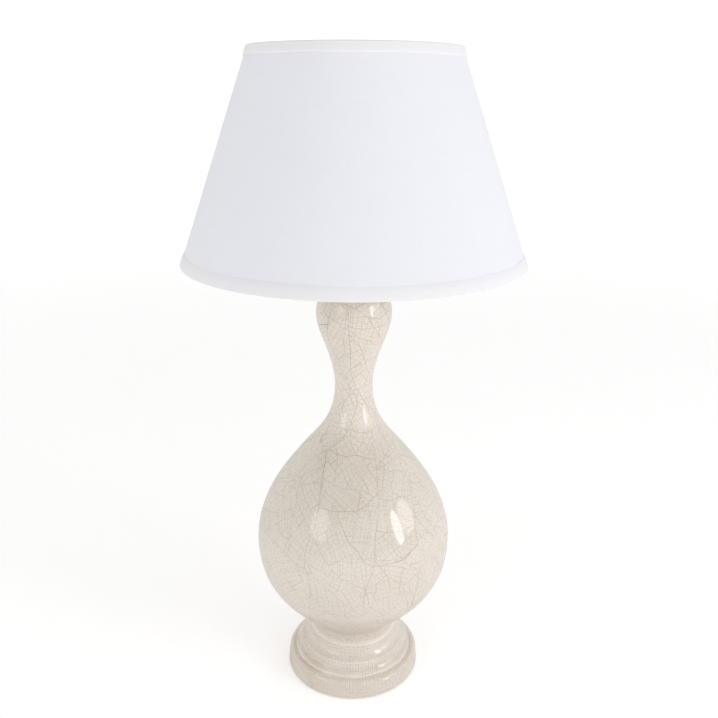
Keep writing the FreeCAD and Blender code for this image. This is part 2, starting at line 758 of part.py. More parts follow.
def make_pipe_stack():
    finished(turned_body("lamp_pipe", pipe_section), "lamp_pipe")
    washer = turned_body("clamp_washer", tube_section, plain_hole, s.clamp_washer_radius,
                         clamp_washer_low, s.floor_bottom)
    finished(washer, "clamp_washer")
    washer = turned_body("lock_washer", tube_section, plain_hole, s.lock_washer_radius,
                         lock_washer_low, clamp_washer_low)
    finished(washer, "lock_washer")
    finished(hexagon_nut("clamp_nut", s.pipe_nut_flats, lower_nut_low, s.pipe_nut, thread_hole),
             "clamp_nut")
    finished(turned_body("vase_cap", vase_cap_section), "vase_cap")
    finished(turned_body("neck_spacer", spacer_section), "neck_spacer")
    finished(hexagon_nut("saddle_nut", s.pipe_nut_flats, spacer_top, s.thin_nut, thread_hole),
             "saddle_nut")


# ---------------------------------------------------------------------------
# Harp with its saddle, sleeves and stud
# ---------------------------------------------------------------------------
def saddle_strip(sketch):
    """Strip bent up at both ends, seen from the front."""
    inner = s.saddle_bend - s.saddle_sheet / 2
    outer = s.saddle_bend + s.saddle_sheet / 2
    bend = s.harp_foot - s.saddle_bend
    pen = Outline(sketch, -bend, saddle_low)
    pen.line(bend, saddle_low)
    pen.arc(bend + outer, post_low, outer, 1)
    pen.line(bend + inner, post_low)
    pen.arc(bend, saddle_top, inner, -1)
    pen.line(-bend, saddle_top)
    pen.arc(-bend - inner, post_low, inner, -1)
    pen.line(-bend - outer, post_low)
    pen.arc(-bend, saddle_low, outer, 1)


def make_harp_saddle():
    body = new_body("saddle_strip")
    sketch = new_sketch(body, "saddle_strip_outline")
    saddle_strip(sketch)
    plate(body, sketch, s.saddle_width, middle=True)
    root = s.harp_wire
    rise = s.post_rise + root
    posts = [cylinder(f"saddle_post_{side}", s.harp_wire, rise, (x, 0, post_low - root))
             for side, x in (("left", -s.harp_foot), ("right", s.harp_foot))]
    bent = fuse("saddle_bent", body, *posts)
    hole = cylinder("saddle_hole", plain_hole, s.saddle_sheet * 3, (0, 0, saddle_low - s.saddle_sheet))
    finished(cut("saddle_drilled", bent, hole), "harp_saddle")


def harp_path(sketch):
    """Centre line of the harp wire, from the left foot over the top to the right foot."""
    foot, wide = s.harp_foot, s.harp_half_width
    half_out = (wide - foot) / 2
    half_up = s.harp_bow / 2
    # two equal arcs join two upright lines that are half_out * 2 apart
    bow = (half_out * half_out + half_up * half_up) / (half_out * 2)
    middle = (foot + half_out, bow_low + half_up)
    corner = s.harp_corner
    shoulder = harp_top - corner
    pen = Outline(sketch, -foot, post_top)
    pen.line(-foot, bow_low)
    pen.arc(-middle[0], middle[1], bow, 1)
    pen.arc(-wide, bow_top, bow, -1)
    pen.line(-wide, shoulder)
    pen.arc(-wide + corner, harp_top, corner, -1)
    pen.line(wide - corner, harp_top)
    pen.arc(wide, shoulder, corner, -1)
    pen.line(wide, bow_top)
    pen.arc(*middle, bow, -1)
    pen.arc(foot, bow_low, bow, 1)
    pen.line(foot, post_top)


def make_harp():
    body = new_body("harp")
    path = new_sketch(body, "harp_path")
    harp_path(path)
    profile = new_sketch(body, "harp_wire_section", "XY_Plane", post_top)
    circle(profile, -s.harp_foot, 0, s.harp_wire)
    pipe = body.newObject("PartDesign::AdditivePipe", "harp_bent_wire")
    pipe.Profile = profile
    pipe.Spine = path
    eye = new_sketch(body, "harp_eye_outline", "XY_Plane", eye_low)
    circle(eye, 0, 0, s.eye_radius)
    plate(body, eye, s.eye_thickness)
    bar = cylinder("harp_eye_drill", s.stud_radius + s.turn_gap, s.eye_thickness * 2,
                   (0, 0, eye_low - s.eye_thickness / 2))
    finished(cut("harp_drilled", body, bar), "harp")


def ferrule_section(sketch):
    """Half section of a locking sleeve that covers the joint of post and leg."""
    inner = s.harp_wire + s.slide_gap
    outer = inner + s.ferrule_wall
    low = post_top - s.ferrule_overlap
    high = low + s.ferrule_length
    collar = outer + s.ferrule_collar
    pen = Outline(sketch, inner, low)
    pen.line(collar, low)
    pen.line(collar, low + s.ferrule_collar * 2)
    pen.line(outer, low + s.ferrule_collar * 3)
    pen.line(outer - s.ferrule_wall / 3, high)
    pen.line(inner, high)
    pen.close()


def make_ferrules():
    for side, across in (("left", -s.harp_foot), ("right", s.harp_foot)):
        body = turned_body(f"ferrule_{side}", ferrule_section)
        bind(body, "Placement.Base.x", across)
        finished(body, f"ferrule_{side}")


def stud_section(sketch):
    """Riveted stud: head under the eye, seat above it and the threaded end."""
    shaft = s.stud_radius
    head_top = eye_low - s.slide_gap
    end = seat_top + s.stud_rise
    pen = Outline(sketch, 0, head_top - s.stud_head)
    pen.line(s.stud_head_radius - s.edge_bevel, head_top - s.stud_head)
    pen.line(s.stud_head_radius, head_top - s.stud_head + s.edge_bevel)
    pen.line(s.stud_head_radius, head_top)
    pen.line(shaft, head_top)
    pen.line(shaft, eye_top)
    pen.line(s.stud_flange_radius, eye_top)
    pen.line(s.stud_flange_radius, seat_top)
    pen.line(shaft, seat_top)
    pen.line(shaft, end - s.edge_bevel)
    pen.line(shaft - s.edge_bevel, end)
    pen.line(0, end)
    pen.close()


def finial_section(sketch):
    """Turned knob: dished foot, waist and ball, bored for the stud."""
    low = washer_top
    top = low + s.finial_height
    middle = top - s.finial_ball
    ball_low = top - s.finial_ball_height
    pull = s.finial_ball * QUARTER
    bore = s.stud_radius + s.turn_gap
    bore_top = seat_top + s.stud_rise + s.finial_bore_spare
    pen = Outline(sketch, bore, low)
    pen.line(s.finial_radius, low)
    pen.line(s.finial_radius, low + s.finial_rim)
    pen.curve((s.finial_radius - s.edge_bevel, low + s.finial_flare),
              (s.finial_waist, low + s.finial_flare),
              s.finial_waist, low + s.finial_stem)
    pen.line(s.finial_waist, ball_low)
    pen.curve((s.finial_ball, ball_low), (s.finial_ball, middle - pull / 2), s.finial_ball, middle)
    pen.curve((s.finial_ball, middle + pull), (pull, top), 0, top)
    pen.line(0, bore_top)
    pen.line(bore - s.edge_bevel, bore_top)
    pen.line(bore, bore_top - s.edge_bevel)
    pen.close()


# ---------------------------------------------------------------------------
# Lamp holder
# ---------------------------------------------------------------------------
def holder_cap_section(sketch):
    """Cap with a threaded hub; its mouth holds the shell."""
    sheet_ = s.holder_sheet
    outer, inner = s.holder_radius, s.holder_radius - sheet_
    bell = hub_top + s.cup_flare
    turn = s.edge_bevel
    pen = Outline(sketch, thread_hole, saddle_top)
    pen.line(s.hub_radius, saddle_top)
    pen.line(s.hub_radius, hub_top - turn)
    pen.curve((s.hub_radius + turn / 2, hub_top + turn * 2), (outer, hub_top + turn), outer, bell)
    pen.line(outer, cup_top)
    pen.line(inner, cup_top)
    pen.line(inner, bell)
    pen.curve((inner, hub_top + turn + sheet_), (s.hub_radius, hub_top + sheet_), s.hub_radius, hub_top)
    pen.line(thread_hole, hub_top)
    pen.close()


def holder_shell_section(sketch):
    """Brass shell: tucked foot, bead above the cap's mouth and rolled upper edge."""
    sheet_ = s.holder_sheet
    tucked = s.holder_radius - sheet_ - s.skin_gap
    wide = s.holder_radius
    pen = Outline(sketch, tucked - sheet_, shell_low)
    pen.line(tucked, shell_low)
    pen.line(tucked, cup_top + s.shell_seat)
    pen.line(wide, bead_top)
    pen.line(wide, shell_top - s.shell_roll_height)
    pen.line(wide - s.shell_roll, shell_top)
    pen.line(wide - s.shell_roll - sheet_, shell_top)
    pen.line(wide - sheet_, shell_top - s.shell_roll_height)
    pen.line(wide - sheet_, bead_top + sheet_)
    pen.line(tucked - sheet_, cup_top + s.shell_seat + sheet_)
    pen.close()


def sleeve_section(sketch):
    outer = s.holder_radius - s.holder_sheet - s.skin_gap
    low = bead_top + s.holder_sheet + s.skin_gap
    tube_section(sketch, outer - s.sleeve_wall, outer, low, shell_top - s.shell_roll_height * 2)


def core_section(sketch):
    """Insulating core with a bevelled foot; the screw shell stands on it."""
    pen = Outline(sketch, 0, core_low)
    pen.line(s.core_radius - s.edge_bevel, core_low)
    pen.line(s.core_radius, core_low + s.edge_bevel)
    pen.line(s.core_radius, core_top)
    pen.line(0, core_top)
    pen.close()


def screw_shell_section(sketch):
    inner = s.screw_shell_radius
    outer = inner + s.screw_shell_sheet
    floor_ = core_top + s.screw_shell_sheet
    top = shell_top - s.screw_shell_drop
    pen = Outline(sketch, s.contact_opening, core_top)
    pen.line(outer, core_top)
    pen.line(outer, top)
    pen.line(inner, top)
    pen.line(inner, floor_)
    pen.line(s.contact_opening, floor_)
    pen.close()


def make_lamp_holder():
    radial = (1, 0, 0)
    across = (0, -1, 0)
    screw_height = saddle_top + s.hub_rise / 2
    cap = turned_body("socket_cap", holder_cap_section)
    bore = cylinder("set_screw_hole", s.set_screw_radius + s.thread_gap, s.hub_radius * 2,
                    (0, 0, screw_height), radial)
    finished(cut("socket_cap_drilled", cap, bore), "socket_cap")
    screw = cylinder("set_screw", s.set_screw_radius, s.set_screw_length,
                     (s.pipe_radius + s.thread_gap, 0, screw_height), radial)
    finished(screw, "cap_set_screw")

    for name, section in (("socket_shell", holder_shell_section), ("socket_sleeve", sleeve_section)):
        tube = turned_body(name, section)
        hole = cylinder(name + "_hole", s.spindle_hole, s.holder_radius * 2,
                        (0, 0, spindle_height), across)
        finished(cut(name + "_drilled", tube, hole), name)

    core = turned_body("socket_core", core_section)
    hole = cylinder("spindle_bore", s.spindle_radius + s.turn_gap, s.core_radius * 2,
                    (0, -s.spindle_root + s.slide_gap, spindle_height), across)
    flats = []
    flat_height = s.terminal_radius * 2 + s.terminal_clear
    for side, sign in (("left", -1), ("right", 1)):
        box = doc.addObject("Part::Box", f"terminal_flat_{side}")
        for prop, size in (("Length", s.core_radius), ("Width", s.core_radius * 2), ("Height", flat_height)):
            bind(box, prop, size)
        start = s.core_flat if sign > 0 else -s.core_flat - s.core_radius
        bind(box, "Placement.Base.x", start)
        bind(box, "Placement.Base.y", -s.core_radius)
        bind(box, "Placement.Base.z", core_low)
        flats.append(box)
    taken = fuse("core_cutters", hole, *flats)
    finished(cut("socket_core_cut", core, taken), "socket_core")

    heads = [cylinder(f"terminal_{side}", s.terminal_radius, s.terminal_head,
                      (start, 0, core_low + flat_height / 2), radial)
             for side, start in (("left", -s.core_flat - s.terminal_head), ("right", s.core_flat))]
    group = doc.addObject("Part::Compound", "terminals")
    group.Links = heads
    finished(group, "terminal_screws")
    finished(turned_body("screw_shell", screw_shell_section), "screw_shell")
    make_centre_contact()


def make_centre_contact():
    """Springy strip with a raised middle, flat on the core at both ends."""
    body = new_body("centre_contact")
    sketch = new_sketch(body, "centre_contact_outline")
    reach = s.contact_opening - s.screw_shell_sheet
    thick = s.contact_sheet
    # the strip's upper and lower bends stand apart by half its sheet
    bend = reach - s.contact_foot
    bend_above = bend + thick / 2
    crest_below = s.contact_crest - thick / 2
    pen = Outline(sketch, -reach, core_top)
    pen.line(-bend, core_top)
    pen.line(-crest_below, contact_top - thick)
    pen.line(crest_below, contact_top - thick)
    pen.line(bend, core_top)
    pen.line(reach, core_top)
    pen.line(reach, core_top + thick)
    pen.line(bend_above, core_top + thick)
    pen.line(s.contact_crest, contact_top)
    pen.line(-s.contact_crest, contact_top)
    pen.line(-bend_above, core_top + thick)
    pen.line(-reach, core_top + thick)
    pen.close()
    plate(body, sketch, s.contact_width, middle=True)
    finished(body, "centre_contact")


def key_hub_section(sketch):
    """Half section of the key's hub about the spindle, measured along it."""
    start = spindle_end - s.key_hub_length
    end = spindle_end + s.key_hub_end
    bore = s.spindle_radius + s.thread_gap
    pen = Outline(sketch, bore, start)
    pen.line(s.key_hub, start)
    pen.line(s.key_hub, end - s.edge_bevel)
    pen.line(s.key_hub - s.edge_bevel, end)
    pen.line(0, end)
    pen.line(0, spindle_end)
    pen.line(bore, spindle_end)
    pen.close()


def key_wing(sketch):
    """Rounded paddle, seen from the side."""
    half = s.key_width / 2
    low = spindle_end + s.key_hub_end / 2
    high = low + s.key_length
    round_ = s.key_width / 4
    root = s.key_hub - s.edge_bevel
    pen = Outline(sketch, -root, low)
    pen.line(root, low)
    pen.line(half, low + round_)
    pen.line(half, high - round_)
    pen.arc(half - round_, high, round_, 1)
    pen.line(-half + round_, high)
    pen.arc(-half, high - round_, round_, 1)
    pen.line(-half, low + round_)
    pen.close()


def make_switch():
    across = (0, -1, 0)
    length = spindle_end - s.spindle_root
    spindle = cylinder("spindle", s.spindle_radius, length, (0, -s.spindle_root, spindle_height), across)
    finished(spindle, "switch_spindle")
    body = turned_body("key_hub", key_hub_section)
    wing = new_sketch(body, "key_wing_outline")
    key_wing(wing)
    plate(body, wing, s.key_thickness, middle=True)
    turn = FreeCAD.Rotation(Vector(1, 0, 0), 90)
    body.Placement = FreeCAD.Placement(Vector(0, 0, 0), turn)
    bind(body, "Placement.Base.z", spindle_height)
    finished(body, "switch_key")


# ---------------------------------------------------------------------------
# Bulb
# ---------------------------------------------------------------------------
def tip_section(sketch):
    """Solder contact, rounded up from its flat middle."""
    middle = contact_top + s.tip_height / 2
    pen = Outline(sketch, 0, contact_top)
    pen.line(s.tip_radius / 3, contact_top)
    pen.curve((s.tip_radius * 2 / 3, contact_top), (s.tip_radius, middle), s.tip_radius, tip_top)
    pen.line(0, tip_top)
    pen.close()


def insulator_section(sketch):
    pen = Outline(sketch, 0, tip_top)
    pen.line(s.tip_radius + s.tip_margin, tip_top)
    pen.line(s.insulator_top, bulb_cap_low)
    pen.line(0, bulb_cap_low)
    pen.close()


def bulb_cap_section(sketch):
    """Thin screw cap with a floor on the insulator and a flared mouth."""
    outer, inner = s.bulb_cap_radius, s.bulb_cap_radius - s.bulb_cap_sheet
    sheet_ = s.bulb_cap_sheet
    pen = Outline(sketch, 0, bulb_cap_low)
    pen.line(s.insulator_top, bulb_cap_low)
    pen.line(outer, bulb_cap_low + s.bulb_cap_taper)
    pen.line(outer, bulb_cap_top)
    pen.line(inner, bulb_cap_top)
    pen.line(inner, bulb_cap_low + s.bulb_cap_taper + sheet_)
    pen.line(s.insulator_top - sheet_, bulb_cap_low + sheet_)
    pen.line(0, bulb_cap_low + sheet_)
    pen.close()


def bulb_section(sketch):
    """Pear-shaped envelope, open at the neck inside the cap."""
    glass = s.bulb_glass
    tucked = s.bulb_cap_radius - s.bulb_cap_sheet - s.skin_gap
    low = bulb_cap_top - s.bulb_tuck
    wide = bulb_cap_top + s.bulb_centre
    top = wide + s.bulb_dome
    neck = bulb_cap_top + s.bulb_step + s.skin_gap
    inner_neck, inner_wide = s.bulb_neck - glass, s.bulb_radius - glass
    inner_dome = s.bulb_dome - glass
    pen = Outline(sketch, tucked, low)
    pen.line(tucked, bulb_cap_top + s.skin_gap)
    pen.line(s.bulb_neck, neck)
    pen.curve((s.bulb_neck, neck + s.bulb_neck_pull), (s.bulb_radius, wide - s.bulb_wide_pull),
              s.bulb_radius, wide)
    pen.curve((s.bulb_radius, wide + s.bulb_dome * QUARTER), (s.bulb_radius * QUARTER, top), 0, top)
    pen.line(0, top - glass)
    pen.curve((inner_wide * QUARTER, top - glass), (inner_wide, wide + inner_dome * QUARTER),
              inner_wide, wide)
    pen.curve((inner_wide, wide - s.bulb_wide_pull), (inner_neck, neck + s.bulb_neck_pull),
              inner_neck, neck + glass)
    pen.line(tucked - glass, bulb_cap_top)
    pen.line(tucked - glass, low)
    pen.close()


def make_bulb():
    finished(turned_body("bulb_contact", tip_section), "bulb_contact")
    finished(turned_body("bulb_insulator", insulator_section), "bulb_insulator")
    finished(turned_body("bulb_cap", bulb_cap_section), "bulb_cap")
    finished(turned_body("bulb_glass", bulb_section), "bulb_glass")


# ---------------------------------------------------------------------------
# Shade
# ---------------------------------------------------------------------------
panel_low = shade_bottom + s.panel_cut
panel_high = shade_top - s.panel_cut
fabric_in = s.trim_proud
liner_in = s.trim_proud + s.fabric + s.skin_gap
liner_face = liner_in + s.liner
lower_ring_height = shade_bottom + s.trim_cloth + s.ring_wire + s.skin_gap
upper_ring_height = shade_top - s.trim_cloth - s.ring_wire - s.skin_gap
lower_ring_radius = shade_radius(lower_ring_height, s.ring_inset)
upper_ring_radius = shade_radius(upper_ring_height, s.ring_inset)


def panel_section(sketch, inward, thickness):
    """Slanted strip: one skin of the shade."""
    pen = Outline(sketch, shade_radius(panel_low, inward), panel_low)
    pen.line(shade_radius(panel_high, inward), panel_high)
    pen.line(shade_radius(panel_high, inward + thickness), panel_high)
    pen.line(shade_radius(panel_low, inward + thickness), panel_low)
    pen.close()


def lower_trim_section(sketch):
    """Folded band: outside, under the edge and up inside, round the lower ring."""
    low, fold, soft = shade_bottom, s.trim_cloth, s.trim_edge_round
    high = low + s.lower_trim
    turn_in = low + s.trim_turn_in
    pocket = low + fold
    outside = s.trim_proud - s.skin_gap
    hollow = s.ring_inset + s.ring_wire * lean + s.skin_gap
    inside = hollow + fold
    pen = Outline(sketch, shade_radius(low, soft), low)
    pen.arc(shade_radius(low + soft, 0), low + soft, soft, 1)
    pen.line(shade_radius(high - soft, 0), high - soft)
    pen.arc(shade_radius(high, soft), high, s.trim_blunt_round, 1)
    pen.line(shade_radius(high, outside), high)
    pen.line(shade_radius(pocket, outside), pocket)
    pen.line(shade_radius(pocket, hollow), pocket)
    pen.line(shade_radius(turn_in, hollow), turn_in)
    pen.line(shade_radius(turn_in, inside), turn_in)
    pen.line(shade_radius(low + soft, inside), low + soft)
    pen.arc(shade_radius(low, inside - soft), low, s.trim_blunt_round, 1)
    pen.close()


def upper_trim_section(sketch):
    """Folded band over the upper ring, with a short turn-in."""
    high, fold, soft = shade_top, s.trim_cloth, s.trim_edge_round
    low = high - s.upper_trim
    turn_in = high - s.upper_turn_in
    pocket = high - fold
    outside = s.trim_proud - s.skin_gap
    hollow = s.ring_inset + s.ring_wire * lean + s.skin_gap
    inside = hollow + fold
    pen = Outline(sketch, shade_radius(low, outside), low)
    pen.line(shade_radius(low, soft), low)
    pen.arc(shade_radius(low + soft, 0), low + soft, soft, 1)
    pen.line(shade_radius(high - soft, 0), high - soft)
    pen.arc(shade_radius(high, soft), high, s.trim_blunt_round, 1)
    pen.line(shade_radius(high, inside - soft), high)
    pen.arc(shade_radius(high - soft, inside), high - soft, soft, 1)
    pen.line(shade_radius(turn_in, inside), turn_in)
    pen.line(shade_radius(turn_in, hollow), turn_in)
    pen.line(shade_radius(pocket, hollow), pocket)
    pen.line(shade_radius(pocket, outside), pocket)
    pen.close()


def make_shade_skins():
    finished(turned_body("shade_fabric", panel_section, fabric_in, s.fabric), "shade_fabric")
    finished(turned_body("shade_liner", panel_section, liner_in, s.liner), "shade_liner")
    finished(turned_body("shade_lower_trim", lower_trim_section), "shade_lower_trim")
    ring = doc.addObject("Part::Torus", "lower_ring")
    bind(ring, "Radius1", lower_ring_radius)
    bind(ring, "Radius2", s.ring_wire)
    bind(ring, "Placement.Base.z", lower_ring_height)
    finished(ring, "shade_lower_ring")
    band = turned_body("shade_upper_trim", upper_trim_section)
    notches = []
    notch = s.spider_wire + s.notch_gap
    reach = s.spider_wire * 4
    for arm in range(SPIDER_ARMS):
        angle = 2 * math.pi * arm / SPIDER_ARMS
        direction = Vector(math.cos(angle), math.sin(angle), 0)
        start = upper_ring_radius - reach
        centre = (start * direction.x, start * direction.y, upper_ring_height - notch / 2)
        notches.append(cylinder(f"arm_notch_{arm}", notch, reach, centre, direction))
    finished(cut("upper_trim_notched", band, fuse("arm_notches", *notches)), "shade_upper_trim")


def make_spider():
    """Washer and three bent arms welded to the shade's upper ring."""
    body = new_body("shade_spider")
    washer = new_sketch(body, "spider_washer_section")
    tube_section(washer, s.spider_hole, s.spider_washer_radius, seat_top, washer_top)
    revolve(body, washer)
    ring = new_sketch(body, "spider_ring_section")
    circle(ring, upper_ring_radius, upper_ring_height, s.ring_wire)
    level = seat_top + s.spider_washer / 2
    # the arm runs level, bends up by half a right angle and meets the ring
    half_right = as_size(0.5).root()
    bend_out = s.spider_bend * half_right
    bend_up = s.spider_bend - bend_out
    straight = upper_ring_height - level - bend_up
    bend_start = upper_ring_radius - straight - bend_out
    arm_start = s.spider_washer_radius - s.spider_wire * 2
    path = new_sketch(body, "spider_arm_path")
    pen = Outline(path, arm_start, level)
    pen.line(bend_start, level)
    pen.arc(bend_start + bend_out, level + bend_up, s.spider_bend, 1)
    pen.line(upper_ring_radius, upper_ring_height)
    profile = new_sketch(body, "spider_arm_section", "YZ_Plane", arm_start)
    circle(profile, 0, level, s.spider_wire)
    arm = body.newObject("PartDesign::AdditivePipe", "spider_arm")
    arm.Profile = profile
    arm.Spine = path
    doc.recompute()
    pattern = body.newObject("PartDesign::PolarPattern", "spider_arms")
    pattern.Originals = [arm]
    pattern.Axis = (washer, ["V_Axis"])
    pattern.Angle = 360
    pattern.Occurrences = SPIDER_ARMS
    body.Tip = pattern
    doc.recompute()
    revolve(body, ring)
    finished(body, "shade_spider")


# ---------------------------------------------------------------------------
# The lamp
# ---------------------------------------------------------------------------
make_ceramic_body()
make_base_felt()
make_cord_bushing()
make_pipe_stack()
make_harp_saddle()
make_harp()
make_ferrules()
finished(turned_body("harp_stud", stud_section), "harp_stud")
finished(turned_body("finial", finial_section), "finial")
make_lamp_holder()
make_switch()
make_bulb()
make_shade_skins()
make_spider()
doc.recompute()

faults = [f"{item.Label}: {', '.join(item.State)}" for item in doc.Objects
          if "Invalid" in item.State or "Error" in item.State]
for item in pieces:
    if item.Shape.isNull() or not item.Shape.isValid() or not item.Shape.Solids:
        faults.append(f"{item.Label}: no valid solid")
if faults:
    raise RuntimeError("; ".join(faults))

for item in pieces:
    item.Shape.exportStep(f"parts/{item.Label}.step")
    box = item.Shape.BoundBox
    print(f"{item.Label:18s} {len(item.Shape.Solids)} solid, {item.Shape.Volume / 1000:9.2f} cm3, "
          f"z {box.ZMin:7.2f} to {box.ZMax:7.2f}")
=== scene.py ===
"""Double gourd lamp: crackle-glazed base, fabric shade, brass fittings and a pale studio."""
import math
from collections import namedtuple

import bmesh
import bpy
from mathutils import Matrix, Vector


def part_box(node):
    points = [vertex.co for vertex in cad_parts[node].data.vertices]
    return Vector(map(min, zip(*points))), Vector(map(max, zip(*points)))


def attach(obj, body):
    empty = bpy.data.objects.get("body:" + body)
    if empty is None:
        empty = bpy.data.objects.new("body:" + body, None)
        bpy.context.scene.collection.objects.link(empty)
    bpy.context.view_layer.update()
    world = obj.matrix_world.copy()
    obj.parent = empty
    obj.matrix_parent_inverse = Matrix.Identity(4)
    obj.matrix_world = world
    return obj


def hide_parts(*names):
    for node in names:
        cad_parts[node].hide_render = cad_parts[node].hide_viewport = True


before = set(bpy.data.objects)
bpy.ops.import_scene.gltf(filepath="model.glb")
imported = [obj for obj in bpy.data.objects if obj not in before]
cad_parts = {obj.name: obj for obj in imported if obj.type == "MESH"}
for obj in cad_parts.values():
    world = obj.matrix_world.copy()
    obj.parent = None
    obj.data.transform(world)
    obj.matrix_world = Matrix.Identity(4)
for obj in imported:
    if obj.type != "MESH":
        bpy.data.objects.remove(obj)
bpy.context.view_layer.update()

# ---------------------------------------------------------------------------
# Sizes, in metres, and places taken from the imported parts
# ---------------------------------------------------------------------------
MM = 0.001
TURN_STEPS = 256  # steps round the lamp's axis on the felt
CLOTH_STEPS = 2 * TURN_STEPS  # and on the shade's cloth and bands, which are wider
SHARP_ANGLE = math.radians(50)  # edges that turn more than this aren't smoothed

body_low, body_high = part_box("ceramic_body")
felt_low, felt_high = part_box("base_felt")
cloth_low, cloth_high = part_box("shade_fabric")
_, upper_band_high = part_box("shade_upper_trim")

FOOT_TOP = body_low[2] + 62 * MM  # where the mouldings end and the belly begins
QUIRK = body_low[2] + 25.3 * MM  # the groove above the plinth
SPLIT = body_low[2] + 40 * MM  # the line between the two beads
COVE = body_low[2] + 58 * MM  # the hollow under the belly
CROWN = body_high[2]  # top of the gourd
FOOT_REACH = felt_high[0]  # the foot is about as wide as its felt


# ---------------------------------------------------------------------------
# Shader maths
# ---------------------------------------------------------------------------
class Flow:
    """A number, colour or vector that runs through a finish; arithmetic adds Math nodes."""

    def __init__(self, finish, socket):
        self.finish = finish
        self.socket = socket

    def __add__(self, other):
        return self.finish.maths("ADD", self, other)

    def __sub__(self, other):
        return self.finish.maths("SUBTRACT", self, other)

    def __rsub__(self, other):
        return self.finish.maths("SUBTRACT", other, self)

    def __mul__(self, other):
        return self.finish.maths("MULTIPLY", self, other)

    def __truediv__(self, other):
        return self.finish.maths("DIVIDE", self, other)

    __radd__ = __add__
    __rmul__ = __mul__

    def sine(self):
        return self.finish.maths("SINE", self)

    def size(self):
        return self.finish.maths("ABSOLUTE", self)

    def greatest(self, other):
        return self.finish.maths("MAXIMUM", self, other)

    def ease(self, start, end):
        """0 before start and 1 after end, smooth between; start may be the larger."""
        low, high = min(start, end), max(start, end)
        rise = self.finish.node("ShaderNodeMapRange", {"interpolation_type": "SMOOTHSTEP"},
                                {"Value": self, "From Min": low, "From Max": high})
        return rise if start < end else 1 - rise

    def ridge(self, start, full, fading, end):
        """0 up to start and past end, 1 from full to fading."""
        return self.ease(start, full) * self.ease(end, fading)


class Finish:
    """A material with one Principled shader, built from nodes."""

    def __init__(self, name, **sockets):
        self.material = bpy.data.materials.new(name)
        self.material.use_nodes = True
        self.tree = self.material.node_tree
        self.tree.nodes.clear()
        output = self.tree.nodes.new("ShaderNodeOutputMaterial")
        self.shader = self.tree.nodes.new("ShaderNodeBsdfPrincipled")
        self.tree.links.new(self.shader.outputs["BSDF"], output.inputs["Surface"])
        self.place = self.node("ShaderNodeTexCoord", output="Object")
        self.set(**sockets)

    def plug(self, socket, value):
        """Link a flow to a socket, or set a number or colour on it."""
        if isinstance(value, Flow):
            self.tree.links.new(value.socket, socket)
        elif hasattr(socket.default_value, "__len__") and len(socket.default_value) == 4:
            socket.default_value = (*value[:3], 1.0)
        else:
            socket.default_value = value

    def node(self, kind, settings=None, sockets=None, output=0):
        """Any node: its settings first, then the values or links of its sockets."""
        item = self.tree.nodes.new(kind)
        for name, value in (settings or {}).items():
            setattr(item, name, value)
        for name, value in (sockets or {}).items():
            self.plug(item.inputs[name], value)
        return Flow(self, item.outputs[output])

    def set(self, **sockets):
        """Values or flows for the shader; base_color stands for its Base Color."""
        for name, value in sockets.items():
            words = name.replace("_", " ").title().replace("Ior", "IOR")
            self.plug(self.shader.inputs[words], value)

    def maths(self, operation, *values):
        return self.node("ShaderNodeMath", {"operation": operation}, dict(enumerate(values)))

    def vector(self, operation, *values, output=0):
        return self.node("ShaderNodeVectorMath", {"operation": operation}, dict(enumerate(values)), output)

    def blend(self, share, first, second):
        """First colour where share is 0, second where it is 1."""
        item = self.tree.nodes.new("ShaderNodeMix")
        item.data_type = "RGBA"
        for index, value in ((0, share), (6, first), (7, second)):
            self.plug(item.inputs[index], value)
        return Flow(self, item.outputs[2])

    def noise(self, place, scale, detail=2.0, roughness=0.5, output=0):
        return self.node("ShaderNodeTexNoise", None,
                         {"Vector": place, "Scale": scale, "Detail": detail, "Roughness": roughness}, output)

    def parts(self, vector):
        """The three numbers of a vector."""
        item = self.tree.nodes.new("ShaderNodeSeparateXYZ")
        self.plug(item.inputs[0], vector)
        return [Flow(self, item.outputs[i]) for i in range(3)]

    def join(self, x, y, z):
        return self.node("ShaderNodeCombineXYZ", None, {"X": x, "Y": y, "Z": z})

    def stretched(self, place, x, y, z):
        return self.vector("MULTIPLY", place, (x, y, z))

    def warped(self, scale, reach):
        """The place on the piece, pushed about by smooth noise as far as reach."""
        push = self.vector("SUBTRACT", self.noise(self.place, scale, output="Color"), (0.5, 0.5, 0.5))
        return self.vector("ADD", self.place, self.vector("MULTIPLY", push, (reach * 2,) * 3))

    def around(self):
        """Angle round the lamp's axis in turns, distance from it and height."""
        x, y, z = self.parts(self.place)
        angle = self.maths("ARCTAN2", y, x) / math.tau
        reach = self.vector("LENGTH", self.join(x, y, 0.0), output="Value")
        return angle, reach, z

    def bump(self, height, distance, strength):
        sockets = {"Height": height, "Distance": distance, "Strength": strength}
        return self.node("ShaderNodeBump", None, sockets)


def tone(red, green, blue):
    """A colour given in screen levels, 0 to 255, as linear light."""
    def linear(level):
        share = level / 255
        return share / 12.92 if share <= 0.04045 else ((share + 0.055) / 1.055) ** 2.4
    return tuple(linear(level) for level in (red, green, blue))


